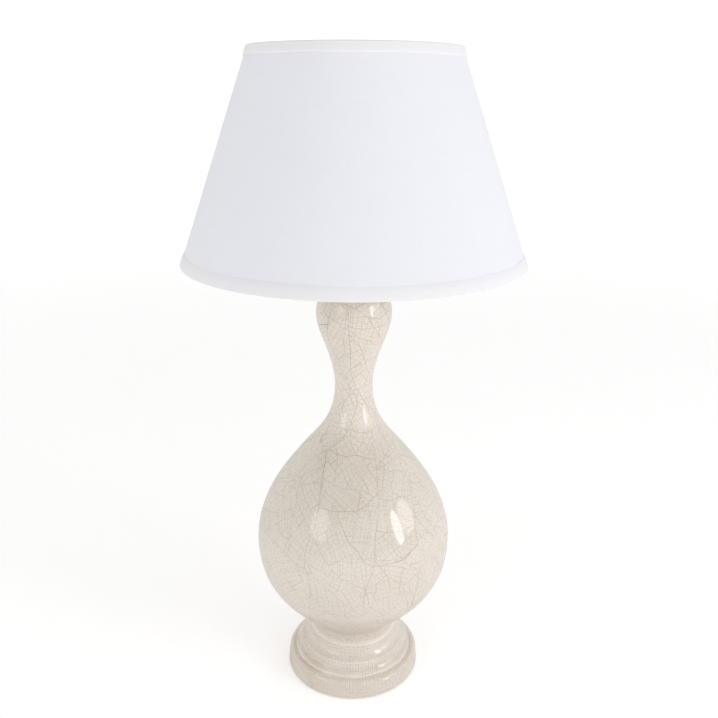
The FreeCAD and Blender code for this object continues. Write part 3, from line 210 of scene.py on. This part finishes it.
# ---------------------------------------------------------------------------
# Crackle glaze
# ---------------------------------------------------------------------------
# Cells in rows: their length and height, the width of the crack between them, the shift of every
# second row as a share of a cell, and the factor on the cells' length in every so many rows
Net = namedtuple("Net", "length height width offset squash every")
LONG_CRACKS = Net(150 * MM, 78 * MM, 0.75 * MM, 0.41, 0.6, 3)
BRANCHES = Net(62 * MM, 31 * MM, 0.7 * MM, 0.37, 1.5, 2)
LADDERS = Net(22 * MM, 15 * MM, 0.55 * MM, 0.31, 1.6, 2)
RUNGS = Net(8.2 * MM, 6.2 * MM, 0.48 * MM, 0.43, 0.7, 2)
FINE_NET = Net(4.0 * MM, 3.1 * MM, 0.38 * MM, 0.37, 1.0, 2)
FOOT_UPRIGHTS = Net(12.5 * MM, 5.2 * MM, 0.55 * MM, 0.37, 1.7, 3)
FOOT_HAIRS = Net(6.2 * MM, 2.6 * MM, 0.4 * MM, 0.43, 0.6, 2)

GORE = math.tau / 3  # the skin is laid flat in three gores, one of them facing the front
GORE_SHIFT = 1.37  # how far apart the gores lie, so that no two have the same cracks

DEEP_IVORY, PALE_IVORY = tone(214, 206, 195), tone(221, 213, 203)
# painted shade for the underside of the belly
PAINTED_SHADE_IVORY = tone(204, 194, 184)
TEA_STAIN = tone(190, 158, 118)
# painted light for the hollows of the foot
PAINTED_LIGHT_IVORY = tone(244, 238, 229)
GROOVE_COLOUR = tone(176, 150, 122)
CRACK_COLOUR = tone(131, 115, 97)


def bricks(finish, flat, net, width, output):
    """Staggered rows of a net's cells, parted by lines of a width."""
    settings = {"offset": net.offset, "squash": net.squash, "squash_frequency": net.every}
    sockets = {"Vector": flat, "Scale": 1.0, "Mortar Size": width / 2, "Mortar Smooth": 0.7,
               "Brick Width": net.length, "Row Height": net.height,
               "Color1": (0, 0, 0), "Color2": (1, 1, 1)}
    return finish.node("ShaderNodeTexBrick", settings, sockets, output)


def crazing(finish, flat, net):
    """1 on the cracks between a net's cells."""
    return bricks(finish, flat, net, net.width, "Fac")


def own_number(finish, flat, net):
    """A number from 0 to 1 that each cell of a net has for itself."""
    return bricks(finish, flat, net, 0.0, "Color")


def unrolled(finish, place):
    """The gourd's skin laid flat: height, distance round the axis, and distance from the gore's edge."""
    x, y, z = finish.parts(place)
    reach = finish.vector("LENGTH", finish.join(x, y, 0.0), output="Value")
    turn = finish.maths("ARCTAN2", x, 0 - y)
    gore = finish.maths("ROUND", turn / GORE)
    turn = turn - gore * GORE
    return z, turn * reach + gore * GORE_SHIFT, (GORE / 2 - turn.size()) * reach


def turned_skin(finish, place, number, turns=1.0):
    """The flat skin, turned in each cell of a larger net by that cell's own number."""
    along, across, _ = unrolled(finish, place)
    return finish.node("ShaderNodeVectorRotate", {"rotation_type": "Z_AXIS"},
                       {"Vector": finish.join(along, across, 0.0), "Angle": number * (math.tau * turns)})


def foot_grid(glaze):
    """Cracks of the foot: upright lines close together, joined by short level ones."""
    angle, reach, height = glaze.around()
    # along the moulding's face, upright or level, one of height and reach changes
    along = height - reach
    uneven = glaze.noise(glaze.place, 45.0, 2.0) - 0.5
    lean = glaze.noise(glaze.place, 30.0, 1.0) - 0.5
    flat = glaze.join(along + uneven * (10 * MM), angle * (math.tau * FOOT_REACH) + lean * (12 * MM), 0.0)
    return crazing(glaze, flat, FOOT_UPRIGHTS), crazing(glaze, flat, FOOT_HAIRS)


def gourd_net(glaze):
    """Cracks of the gourd: long curved ones, ladders between them and a fine net between those."""
    along, across, seam = unrolled(glaze, glaze.warped(4.0, 85 * MM))
    skin = glaze.join(along, across, 0.0)
    region = own_number(glaze, skin, LONG_CRACKS)
    seam_crack = seam.ease(0.6 * MM, 0.1 * MM) * 0.6
    long_cracks = crazing(glaze, skin, LONG_CRACKS).greatest(seam_crack)

    skin = turned_skin(glaze, glaze.warped(9.0, 34 * MM), region)
    plot = own_number(glaze, skin, BRANCHES)
    long_cracks = long_cracks.greatest(crazing(glaze, skin, BRANCHES) * 0.85)

    skin = turned_skin(glaze, glaze.warped(17.0, 14 * MM), plot)
    field = own_number(glaze, skin, LADDERS)
    ladders = crazing(glaze, skin, LADDERS)

    close = glaze.warped(30.0, 6.5 * MM)
    rungs = crazing(glaze, turned_skin(glaze, close, plot), RUNGS)
    fine = crazing(glaze, turned_skin(glaze, close, field, 0.25), FINE_NET)
    return long_cracks, ladders, rungs, fine


def crack_lines(glaze, height, foot, worn):
    """All cracks, from 0 where there is none to the strength of each; worn fades them along their length."""
    long_cracks, ladders, rungs, fine = gourd_net(glaze)
    uprights, hairs = foot_grid(glaze)
    faint = glaze.noise(glaze.place, 55.0, 2.0).ease(0.38, 0.62)
    gourd = (long_cracks * (0.4 + worn * 0.26)).greatest(ladders * (0.36 + worn * 0.24))
    gourd = gourd.greatest(rungs * (0.33 + faint * 0.2)).greatest(fine * (0.25 + worn * 0.14))
    grid = (uprights * (0.38 + worn * 0.34)).greatest(hairs * (0.4 + faint * 0.28))
    # the cracks are darker on the upper gourd
    crown = height.ease(CROWN - 95 * MM, CROWN - 50 * MM)
    return gourd * (1 + crown * 0.25) * (1 - foot) + grid * foot


def glaze_colour(glaze, x, height, foot, worn):
    """Ivory without its cracks: cloudy, with painted shade low on the belly, stained about the foot, and
    with painted light in the foot's hollows.
    """
    cloud = glaze.noise(glaze.place, 9.0, 4.0).ease(0.3, 0.7)
    ivory = glaze.blend(cloud, DEEP_IVORY, PALE_IVORY)
    # painted shade: the ivory is darker low on the belly, and less so on the foot, where less light reaches
    underside_shade = height.ease(FOOT_TOP + 160 * MM, FOOT_TOP + 30 * MM)
    ivory = glaze.blend(underside_shade * (0.85 - foot * 0.35), ivory, PAINTED_SHADE_IVORY)

    left = x.ease(-20 * MM, -85 * MM)
    stain = glaze.noise(glaze.place, 24.0, 5.0, 0.65).ease(0.44, 0.72)
    ivory = glaze.blend(stain * foot * (0.12 + left * 0.4), ivory, TEA_STAIN)

    # painted light: the hollows of the foot are painted paler against their shade, with colour settled in
    # the groove above the plinth
    hollow_light = height.ridge(QUIRK - 7 * MM, QUIRK - 1 * MM, QUIRK + 2 * MM, QUIRK + 7 * MM)
    for hollow, spread in ((SPLIT, 5 * MM), (COVE, 11 * MM)):
        hollow_light = hollow_light.greatest(height.ridge(hollow - spread, hollow, hollow, hollow + spread))
    ivory = glaze.blend(hollow_light * 0.62, ivory, PAINTED_LIGHT_IVORY)
    groove = height.ridge(QUIRK - 0.6 * MM, QUIRK, QUIRK + 1.4 * MM, QUIRK + 2.2 * MM)
    return glaze.blend(groove * (0.1 + worn * 0.25), ivory, GROOVE_COLOUR)


def crackle_glaze():
    """Ivory glaze over clay, crazed all over, with tea-coloured stains about the foot."""
    glaze = Finish("crackle_glaze", roughness=0.4, specular_ior_level=0.05, ior=1.45, coat_roughness=0.035)
    # the gloss is gentle where the skin turns away
    facing = glaze.node("ShaderNodeLayerWeight", None, {"Blend": 0.5}, "Facing")
    glaze.set(coat_weight=1 - facing.ease(0.45, 0.95) * 0.85)
    x, _, height = glaze.parts(glaze.place)
    foot = height.ease(FOOT_TOP + 8 * MM, FOOT_TOP - 4 * MM)
    worn = glaze.noise(glaze.place, 26.0, 3.0).ease(0.32, 0.62)
    lines = crack_lines(glaze, height, foot, worn)
    ivory = glaze_colour(glaze, x, height, foot, worn)
    glaze.set(base_color=glaze.blend(lines, ivory, CRACK_COLOUR),
              normal=glaze.bump(1 - lines, 0.08 * MM, 0.35))
    return glaze.material


# ---------------------------------------------------------------------------
# Shade cloth
# ---------------------------------------------------------------------------
THREAD = 0.55 * MM  # distance between threads
CLOTH_RELIEF = 0.12 * MM  # depth of the weave


def weave(finish, slub=0.35):
    """Height of a fine plain weave on the shade: threads up and round, with thick places."""
    angle, _, height = finish.around()
    mean_radius = (cloth_high[0] + upper_band_high[0]) / 2
    across = angle * (math.tau * mean_radius / THREAD * math.pi)
    up = height * (math.pi / THREAD)
    warp = across.sine().size()
    weft = up.sine().size()
    thick = finish.noise(finish.join(angle * 160.0, height * 60.0, 0.0), 1.0, 2.0)
    thick_round = finish.noise(finish.join(angle * 14.0, height * 900.0, 3.0), 1.0, 2.0)
    return warp * 0.5 + weft * 0.5 + (thick + thick_round) * slub


def shade_cloth():
    """White cloth of the shade's cone, with fine slubs up and round."""
    cloth = Finish("shade_cloth", roughness=0.9, specular_ior_level=0.25, sheen_weight=0.15)
    relief = weave(cloth)
    angle, _, height = cloth.around()
    cloud = cloth.noise(cloth.join(angle * 10.0, height * 8.0, 0.0), 1.0, 3.0)
    colour = cloth.blend(cloud.ease(0.3, 0.7), tone(234, 235, 239), tone(238, 239, 243))
    # thicker threads let less light through
    upright = cloth.noise(cloth.join(angle * 420.0, height * 26.0, 0.0), 1.0, 2.0)
    level = cloth.noise(cloth.join(angle * 22.0, height * 330.0, 5.0), 1.0, 2.0)
    slubs = (upright.ease(0.52, 0.78) + level.ease(0.52, 0.78)) * 0.5
    colour = cloth.blend(slubs * 0.85, colour, tone(222, 224, 229))
    colour = cloth.blend(relief.ease(0.55, 1.3) * 0.35, tone(225, 227, 234), colour)
    cloth.set(base_color=colour, normal=cloth.bump(relief, CLOTH_RELIEF, 0.35))
    return cloth.material


def band_cloth():
    """The bands are the same cloth, cut on the slant and folded."""
    cloth = Finish("band_cloth", roughness=0.88, specular_ior_level=0.25, sheen_weight=0.15)
    angle, _, height = cloth.around()
    girth = angle * (math.tau * cloth_high[0] / THREAD * math.pi)
    slant = (girth * 0.7 + height * (2.2 / THREAD)).sine().size()
    other = (girth * 0.7 - height * (2.2 / THREAD)).sine().size()
    relief = slant * 0.5 + other * 0.5 + cloth.noise(cloth.place, 700.0) * 0.4
    colour = cloth.blend(relief.ease(0.4, 1.2), tone(226, 226, 229), tone(233, 233, 236))
    cloth.set(base_color=colour, normal=cloth.bump(relief, CLOTH_RELIEF, 0.35))
    return cloth.material


def shade_lining():
    """White film bonded to the back of the cloth, with the cloth's threads faint in it."""
    film = Finish("shade_lining", roughness=0.55, specular_ior_level=0.35)
    relief = weave(film, 0.1)
    colour = film.blend(relief.ease(0.2, 1.1), tone(240, 239, 234), tone(246, 245, 241))
    film.set(base_color=colour, normal=film.bump(relief, 0.08 * MM, 0.2))
    return film.material


# ---------------------------------------------------------------------------
# Metals, plastics and the rest
# ---------------------------------------------------------------------------
HOLDER_PITCH = 3.6 * MM  # thread of the bulb and the screw shell
PIPE_PITCH = 0.94 * MM


def brushed(name, low, high, roughness, scale=(900.0, 900.0, 90.0)):
    """Metal with fine turning marks, cloudy tarnish and small changes of gloss."""
    metal = Finish(name, metallic=1.0)
    marks = metal.noise(metal.stretched(metal.place, *scale), 1.0, 3.0)
    cloud = metal.noise(metal.place, 60.0, 4.0).ease(0.3, 0.7)
    metal.set(base_color=metal.blend(cloud, low, high),
              roughness=roughness + (marks - 0.5) * 0.12 + (1 - cloud) * 0.06,
              normal=metal.bump(marks, 0.03 * MM, 0.25))
    return metal.material


def threaded(name, low, high, roughness, pitch):
    """Metal with a screw thread round the lamp's axis."""
    metal = Finish(name, metallic=1.0)
    angle, _, height = metal.around()
    ridge = ((height / pitch - angle) * math.tau).sine() * 0.5 + 0.5
    grime = metal.noise(metal.place, 200.0, 4.0)
    metal.set(base_color=metal.blend(ridge * 0.5 + grime * 0.5, low, high),
              roughness=roughness + grime * 0.15,
              normal=metal.bump(ridge, pitch * 0.35, 0.8))
    return metal.material


def moulded(name, colour, roughness, grain=1400.0, fleck=0.06):
    """Moulded plastic or board with a fine grain and slight flecks."""
    plastic = Finish(name, specular_ior_level=0.45)
    fine = plastic.noise(plastic.place, grain, 3.0)
    cloud = plastic.noise(plastic.place, 90.0, 3.0)
    darker = tuple(level * (1 - fleck * 2.5) for level in colour)
    plastic.set(base_color=plastic.blend(fine * 0.5 + cloud * 0.5, darker, colour),
                roughness=roughness + (cloud - 0.5) * 0.12,
                normal=plastic.bump(fine, 0.04 * MM, 0.3))
    return plastic.material


def frosted_bulb():
    """White-coated glass, a little cloudy."""
    glass = Finish("frosted_bulb", roughness=0.22, coat_weight=0.4, coat_roughness=0.05)
    cloud = glass.noise(glass.place, 45.0, 3.0)
    speck = glass.noise(glass.place, 900.0, 2.0)
    glass.set(base_color=glass.blend(cloud * 0.6 + speck * 0.4, tone(226, 224, 217), tone(240, 239, 234)),
              normal=glass.bump(speck, 0.03 * MM, 0.15))
    return glass.material


def felt_cloth():
    """Pressed felt: matted short fibres."""
    felt = Finish("felt_cloth", roughness=1.0, specular_ior_level=0.1, sheen_weight=0.3)
    fibre = felt.noise(felt.stretched(felt.place, 1500.0, 500.0, 900.0), 1.0, 4.0)
    cross = felt.noise(felt.stretched(felt.place, 500.0, 1600.0, 900.0), 1.0, 4.0)
    cloud = felt.noise(felt.place, 40.0, 3.0)
    relief = fibre * 0.5 + cross * 0.5
    felt.set(base_color=felt.blend(relief * 0.7 + cloud * 0.3, tone(46, 62, 50), tone(84, 102, 86)),
             normal=felt.bump(relief, 0.4 * MM, 0.6))
    return felt.material


# ---------------------------------------------------------------------------
# Mesh work
# ---------------------------------------------------------------------------
def turned_mesh(name, outline, steps, push):
    """Closed surface of the outline (distance, height) turned round the axis.

    push(angle, distance, height) may move a point; it returns a distance and a height.
    """
    mesh = bpy.data.meshes.new(name)
    shape = bmesh.new()
    rings = []
    for step in range(steps):
        angle = math.tau * step / steps
        ring = []
        for point in outline:
            distance, height = push(angle, *point)
            ring.append(shape.verts.new((distance * math.cos(angle), distance * math.sin(angle), height)))
        rings.append(ring)
    for step in range(steps):
        here, there = rings[step], rings[(step + 1) % steps]
        for index in range(len(outline)):
            after = (index + 1) % len(outline)
            shape.faces.new((here[index], there[index], there[after], here[after]))
    bmesh.ops.recalc_face_normals(shape, faces=shape.faces)
    for face in shape.faces:
        face.smooth = True
    for edge in shape.edges:
        edge.smooth = edge.calc_face_angle(0.0) < SHARP_ANGLE
    shape.to_mesh(mesh)
    shape.free()
    piece = bpy.data.objects.new(name, mesh)
    bpy.context.collection.objects.link(piece)
    return piece


def rounded(corners, steps=4):
    """Closed outline with its corners (distance, height, radius) rounded."""
    points = []
    count = len(corners)
    for index, (x, y, radius) in enumerate(corners):
        if radius <= 0:
            points.append((x, y))
            continue
        here = Vector((x, y))
        before = Vector(corners[index - 1][:2]) - here
        after = Vector(corners[(index + 1) % count][:2]) - here
        reach = min(radius, before.length * 0.49, after.length * 0.49)
        start, end = here + before.normalized() * reach, here + after.normalized() * reach
        for step in range(steps + 1):
            share = step / steps
            point = start * (1 - share) ** 2 + here * (2 * share * (1 - share)) + end * share ** 2
            points.append((point.x, point.y))
    return points


def runs(outline):
    """The straight runs of a closed outline, each as its two ends."""
    return list(zip(outline, outline[1:] + outline[:1]))


def filled(outline, longest):
    """The same closed outline with its long runs divided, so that it can bend."""
    result = []
    for here, after in runs(outline):
        count = max(1, math.ceil(math.dist(here, after) / longest))
        for step in range(count):
            share = step / count
            result.append((here[0] + (after[0] - here[0]) * share, here[1] + (after[1] - here[1]) * share))
    return result


# ---------------------------------------------------------------------------
# The shade's cone
# ---------------------------------------------------------------------------
def node_reach(node, height, tolerance=0.15 * MM):
    """Greatest and least distance from the axis of a node's points at a height."""
    mesh = bpy.data.objects[node].data
    reach = [math.hypot(v.co.x, v.co.y) for v in mesh.vertices if abs(v.co.z - height) < tolerance]
    return max(reach), min(reach)


cloth_bottom_out, cloth_bottom_in = node_reach("shade_fabric", cloth_low[2])
cloth_top_out, _ = node_reach("shade_fabric", cloth_high[2])
CONE_FALL = (cloth_bottom_out - cloth_top_out) / (cloth_high[2] - cloth_low[2])


def cone(height, inward=0.0):
    """Distance from the axis to the cloth's outer face at a height, moved inward."""
    return cloth_bottom_out - CONE_FALL * (height - cloth_low[2]) - inward


SEAM_ANGLE = math.radians(90)  # the lapped joint faces the back
SEAM_WIDTH = 11 * MM
SEAM_RISE = 0.35 * MM
SEAM_STEP = 1.2 * MM  # over which the cloth climbs onto its other end
SEAM_FADE = 3 * MM  # over which it lies down again
CLOTH_RIPPLE = 0.12 * MM


def lap(angle, distance):
    """Outward step where the cloth's end is lapped over its start."""
    run = ((angle - SEAM_ANGLE + math.pi) % math.tau - math.pi) * distance
    if run < -SEAM_STEP or run > SEAM_WIDTH:
        return 0.0
    climb = min(1.0, (run + SEAM_STEP) / SEAM_STEP)
    fall = min(1.0, (SEAM_WIDTH - run) / SEAM_FADE)
    return SEAM_RISE * climb * fall


def ripple(angle, height):
    """Slight waviness of cloth stretched over a stiff lining."""
    wave = math.sin(angle * 7 + height * 31) * 0.5
    wave += math.sin(angle * 17 - height * 47 + 1.3) * 0.3
    wave += math.sin(angle * 31 + height * 90 + 0.6) * 0.2
    return CLOTH_RIPPLE * wave


def make_shade_cloth():
    """The cloth of the cone, stretched over its lining and lapped at the back."""
    thickness = cloth_bottom_out - cloth_bottom_in
    low, high = cloth_low[2], cloth_high[2]
    outline = filled([(cone(low, thickness), low), (cone(low), low),
                      (cone(high), high), (cone(high, thickness), high)], 8 * MM)

    def push(angle, distance, height):
        lift = ripple(angle, height)
        if distance > cone(height, thickness / 2):
            lift += lap(angle, distance)
        return distance + lift, height

    piece = turned_mesh("shade_cloth_cone", outline, CLOTH_STEPS, push)
    # the flat cut is a ring sector round the cone's apex
    lean = math.sqrt(1 + CONE_FALL ** 2)
    area = math.pi * (cone(low) + cone(high)) * (high - low) * lean
    outer = cone(low) * lean / CONE_FALL
    inner = cone(high) * lean / CONE_FALL
    half = math.pi * CONE_FALL / lean
    flat = (2 * outer * math.sin(min(half, math.pi / 2)), outer - inner * math.cos(half))
    return piece


# ---------------------------------------------------------------------------
# The shade's bands
# ---------------------------------------------------------------------------
BAND_PROUD = 1.5 * MM  # how far a band stands out from the cloth
BAND_CLOTH = 1.1 * MM  # thickness of its doubled cloth
BAND_HOLLOW = 2.9 * MM  # depth of the shade's edge that it is folded over
BAND_GAP = 0.1 * MM  # between it and the cloth
BAND_BEND = 1.4 * MM  # its fold round the shade's edge
CUT_EDGE = 0.5 * MM  # rounding of its cut edge inside the shade


def on_cone(height, inward, radius=0.0):
    """A corner of a band's outline, at a distance inward from the cloth's outer face."""
    return cone(height, inward), height, radius


def lower_band_corners(low, high):
    """Folded up round the lower edge and pressed thin towards its upper one."""
    turn_in = low + 8 * MM
    thin = high - 5 * MM
    return [
        on_cone(low, BAND_HOLLOW + BAND_CLOTH, BAND_BEND),
        on_cone(low, -BAND_PROUD, BAND_BEND),
        on_cone(thin, -BAND_PROUD, 3 * MM),
        on_cone(high, -0.3 * MM),
        on_cone(high, -BAND_GAP),
        on_cone(low + BAND_CLOTH, -BAND_GAP),
        on_cone(low + BAND_CLOTH, BAND_HOLLOW),
        on_cone(turn_in, BAND_HOLLOW),
        on_cone(turn_in, BAND_HOLLOW + BAND_CLOTH, CUT_EDGE)]


def upper_band_corners(low, high):
    """Folded down round the upper edge, with a crease above its lower one."""
    turn_in = high - 3.4 * MM
    crease = low + 2.6 * MM
    crease_depth = 0.25 * MM
    crease_half = 0.5 * MM
    return [
        on_cone(low, -BAND_GAP),
        on_cone(low, -0.7 * MM, 0.3 * MM),
        on_cone(crease - crease_half, -BAND_PROUD, crease_half),
        on_cone(crease, crease_depth - BAND_PROUD, 0.3 * MM),
        on_cone(crease + crease_half, -BAND_PROUD, crease_half),
        on_cone(high, -BAND_PROUD, BAND_BEND),
        on_cone(high, BAND_HOLLOW + BAND_CLOTH, 1.2 * MM),
        on_cone(turn_in, BAND_HOLLOW + BAND_CLOTH, CUT_EDGE),
        on_cone(turn_in, BAND_HOLLOW),
        on_cone(high - BAND_CLOTH, BAND_HOLLOW),
        on_cone(high - BAND_CLOTH, -BAND_GAP)]


def make_band(name, node, band_corners):
    """A strip of doubled cloth, folded over an edge of the shade."""
    low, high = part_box(node)
    outline = filled(rounded(band_corners(low[2], high[2])), 1.6 * MM)

    def push(angle, distance, height):
        outside = distance > cone(height, -BAND_PROUD / 2)
        return distance + (ripple(angle, height * 0.2) if outside else 0.0), height

    piece = turned_mesh(name, outline, CLOTH_STEPS, push)
    # the strip is half as wide as its outline is long
    width = sum(math.dist(here, after) for here, after in runs(outline)) / 2
    middle = sum(distance for distance, _ in outline) / len(outline)
    math.tau * middle
    return piece


# ---------------------------------------------------------------------------
# The felt
# ---------------------------------------------------------------------------
def make_felt():
    """Felt disc with a soft, slightly uneven edge."""
    radius = felt_high[0]
    centre = 0.5 * MM  # the outline stops just short of the axis
    low, high = felt_low[2], felt_high[2]
    soft = (high - low) * 0.4
    corners = [(centre, low, 0.0), (radius, low, soft), (radius, high, soft), (centre, high, 0.0)]
    outline = filled(rounded(corners), 6 * MM)

    def push(angle, distance, height):
        uneven = 0.25 * MM * (math.sin(angle * 23) + math.sin(angle * 41 + 1)) * (distance / radius) ** 8
        return distance - abs(uneven), height

    piece = turned_mesh("felt_disc", outline, TURN_STEPS, push)
    return piece


# ---------------------------------------------------------------------------
# Dressing
# ---------------------------------------------------------------------------
def dress(material, *nodes):
    """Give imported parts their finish."""
    for node in nodes:
        for holder in bpy.data.objects[node].material_slots:
            holder.material = material


def place_piece(piece, body, material, node):
    """Ride a piece on a body, in place of the node that it stands for."""
    piece.data.materials.append(material)
    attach(piece, body)
    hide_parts(node)


def dress_parts():
    """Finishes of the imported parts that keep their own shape."""
    dress(brushed("satin_brass", tone(176, 142, 84), tone(208, 174, 112), 0.3),
          "vase_cap", "neck_spacer", "harp_saddle", "harp", "ferrule_left", "ferrule_right",
          "harp_stud", "finial", "centre_contact")
    dress(brushed("holder_brass", tone(186, 154, 92), tone(214, 184, 122), 0.24, (700.0, 700.0, 60.0)),
          "socket_cap", "socket_shell")
    dress(brushed("plated_steel", tone(150, 150, 146), tone(184, 184, 180), 0.36),
          "clamp_washer", "lock_washer", "clamp_nut", "saddle_nut")
    dress(brushed("screw_heads", tone(170, 170, 166), tone(200, 200, 196), 0.3, (300.0, 1200.0, 1200.0)),
          "terminal_screws", "cap_set_screw", "switch_spindle")
    dress(moulded("white_painted_wire", tone(232, 231, 226), 0.35, 500.0, 0.03),
          "shade_lower_ring", "shade_spider")
    dress(moulded("black_moulding", tone(34, 33, 32), 0.4), "socket_core", "switch_key")
    dress(threaded("screw_shell_brass", tone(170, 136, 76), tone(214, 182, 118), 0.3, HOLDER_PITCH),
          "screw_shell")
    dress(threaded("pipe_thread", tone(128, 128, 124), tone(188, 188, 182), 0.36, PIPE_PITCH), "lamp_pipe")
    dress(moulded("insulating_board", tone(176, 152, 116), 0.7, 700.0, 0.12), "socket_sleeve")
    dress(moulded("ivory_bushing", tone(206, 198, 182), 0.45), "cord_bushing")
    dress(threaded("bulb_screw_cap", tone(176, 176, 174), tone(224, 224, 222), 0.25, HOLDER_PITCH),
          "bulb_cap")
    dress(moulded("black_glass", tone(20, 20, 22), 0.12, 400.0, 0.02), "bulb_insulator")
    dress(brushed("solder_tip", tone(140, 140, 138), tone(190, 190, 188), 0.42), "bulb_contact")
    dress(frosted_bulb(), "bulb_glass")
    dress(shade_lining(), "shade_liner")
    dress(crackle_glaze(), "ceramic_body")


def dress_cloth():
    """The shade's cloth and bands and the foot's felt stand in for the plain solids."""
    place_piece(make_shade_cloth(), "shade", shade_cloth(), "shade_fabric")
    bands = band_cloth()
    for name, node, band_corners in (("lower_band", "shade_lower_trim", lower_band_corners),
                                     ("upper_band", "shade_upper_trim", upper_band_corners)):
        place_piece(make_band(name, node, band_corners), "shade", bands, node)
    place_piece(make_felt(), "lamp_base", felt_cloth(), "base_felt")


# ---------------------------------------------------------------------------
# Studio
# ---------------------------------------------------------------------------
CAMERA_PLACE = Vector((0.0, -0.9667, 0.7817))
CAMERA_DIP = 18.60  # degrees below level
CAMERA_SWING = 0.389  # degrees to the right of the lamp's axis
CAMERA_TILT = 0.344  # degrees that the lamp leans to the right
FOCAL_PIXELS = 795.6
FRAME_PIXELS = 718
SENSOR = 36.0
LIGHT_AIM = Vector((0, 0, 0.3))
FLOOR_REACH = 3.2  # radius of the level part of the floor
FLOOR_STEPS = 96
WALL_BEND = 1.2  # radius of the bend from floor to wall
WALL_BEND_STEPS = 12
WALL_HEIGHT = 3.1
FLOOR_GLOW = 0.285
AIR_LIGHT = 0.5
AIR_COLOUR = (1.0, 0.995, 0.985, 1.0)


def set_camera():
    """The photograph's angle of view."""
    data = bpy.data.cameras.new("studio_camera")
    data.sensor_width = SENSOR
    data.lens = FOCAL_PIXELS / FRAME_PIXELS * SENSOR
    data.clip_start = 0.01
    camera = bpy.data.objects.new("studio_camera", data)
    bpy.context.collection.objects.link(camera)
    turn = (Matrix.Rotation(math.radians(-CAMERA_SWING), 4, "Z")
            @ Matrix.Rotation(math.radians(90 - CAMERA_DIP), 4, "X")
            @ Matrix.Rotation(math.radians(CAMERA_TILT), 4, "Z"))
    camera.matrix_world = Matrix.Translation(CAMERA_PLACE) @ turn
    bpy.context.scene.camera = camera


def soft_light(name, azimuth, elevation, distance, width, height, power, colour):
    """Oval area light at azimuth degrees right of the front, turned towards the lamp."""
    data = bpy.data.lights.new(name, "AREA")
    data.shape = "ELLIPSE"
    data.size, data.size_y = width, height
    data.energy = power
    data.color = colour
    light = bpy.data.objects.new(name, data)
    bpy.context.collection.objects.link(light)
    side, rise = math.radians(azimuth), math.radians(elevation)
    direction = Vector((math.sin(side) * math.cos(rise), -math.cos(side) * math.cos(rise), math.sin(rise)))
    light.location = LIGHT_AIM + direction * distance
    light.rotation_euler = direction.to_track_quat("Z", "Y").to_euler()
    light.visible_camera = False


def set_lights():
    """A narrow and a wide window on the right, a high front light, and a fill and a patch on the left."""
    soft_light("key_strip", azimuth=56, elevation=14, distance=1.9, width=0.38, height=0.9,
               power=5.2, colour=(1.0, 1.0, 1.0))
    soft_light("key_wide", azimuth=72, elevation=16, distance=2.3, width=0.9, height=0.85,
               power=4.5, colour=(1.0, 0.93, 0.97))
    soft_light("front", azimuth=30, elevation=30, distance=2.6, width=1.4, height=1.4,
               power=3.1, colour=(0.9, 0.945, 1.0))
    soft_light("fill_left", azimuth=-54, elevation=32, distance=2.4, width=1.5, height=1.0,
               power=1.5, colour=(1.0, 0.96, 0.89))
    soft_light("patch_left", azimuth=-44, elevation=20, distance=2.2, width=0.95, height=0.85,
               power=3.6, colour=(1.0, 0.97, 0.93))


def set_air():
    """Even pale light from all sides."""
    world = bpy.data.worlds.new("studio_air")
    world.use_nodes = True
    bpy.context.scene.world = world
    back = world.node_tree.nodes["Background"]
    back.inputs["Color"].default_value = AIR_COLOUR
    back.inputs["Strength"].default_value = AIR_LIGHT
    bpy.context.scene.view_settings.view_transform = "Standard"


def floor_mesh():
    """Round floor that curves up into a wall on all sides."""
    outline = [(0.0, 0.0), (FLOOR_REACH, 0.0)]
    for step in range(1, WALL_BEND_STEPS + 1):
        rise = math.pi / 2 * step / WALL_BEND_STEPS
        outline.append((FLOOR_REACH + WALL_BEND * math.sin(rise), WALL_BEND * (1 - math.cos(rise))))
    outline.append((FLOOR_REACH + WALL_BEND, WALL_HEIGHT))
    mesh = bpy.data.meshes.new("studio_floor")
    shape = bmesh.new()
    points = [shape.verts.new((distance, 0.0, height)) for distance, height in outline]
    edges = [shape.edges.new(pair) for pair in zip(points, points[1:])]
    bmesh.ops.spin(shape, geom=points + edges, cent=(0, 0, 0), axis=(0, 0, 1), angle=math.tau,
                   steps=FLOOR_STEPS, use_merge=True, use_duplicate=False)
    bmesh.ops.remove_doubles(shape, verts=shape.verts, dist=0.5 * MM)
    for face in shape.faces:
        face.smooth = True
    bmesh.ops.recalc_face_normals(shape, faces=shape.faces)
    shape.to_mesh(mesh)
    shape.free()
    return mesh


def make_floor():
    """Pale paper floor with a faint glow of its own."""
    floor = bpy.data.objects.new("studio_floor", floor_mesh())
    bpy.context.collection.objects.link(floor)
    paper = Finish("studio_paper", roughness=0.9, specular_ior_level=0.1,
                   emission_color=(1.0, 1.0, 1.0), emission_strength=FLOOR_GLOW)
    grain = paper.noise(paper.place, 300.0, 3.0)
    paper.set(base_color=paper.blend(grain, tone(246, 246, 246), tone(249, 249, 249)))
    floor.data.materials.append(paper.material)


dress_parts()
dress_cloth()
set_air()
set_lights()
make_floor()
set_camera()
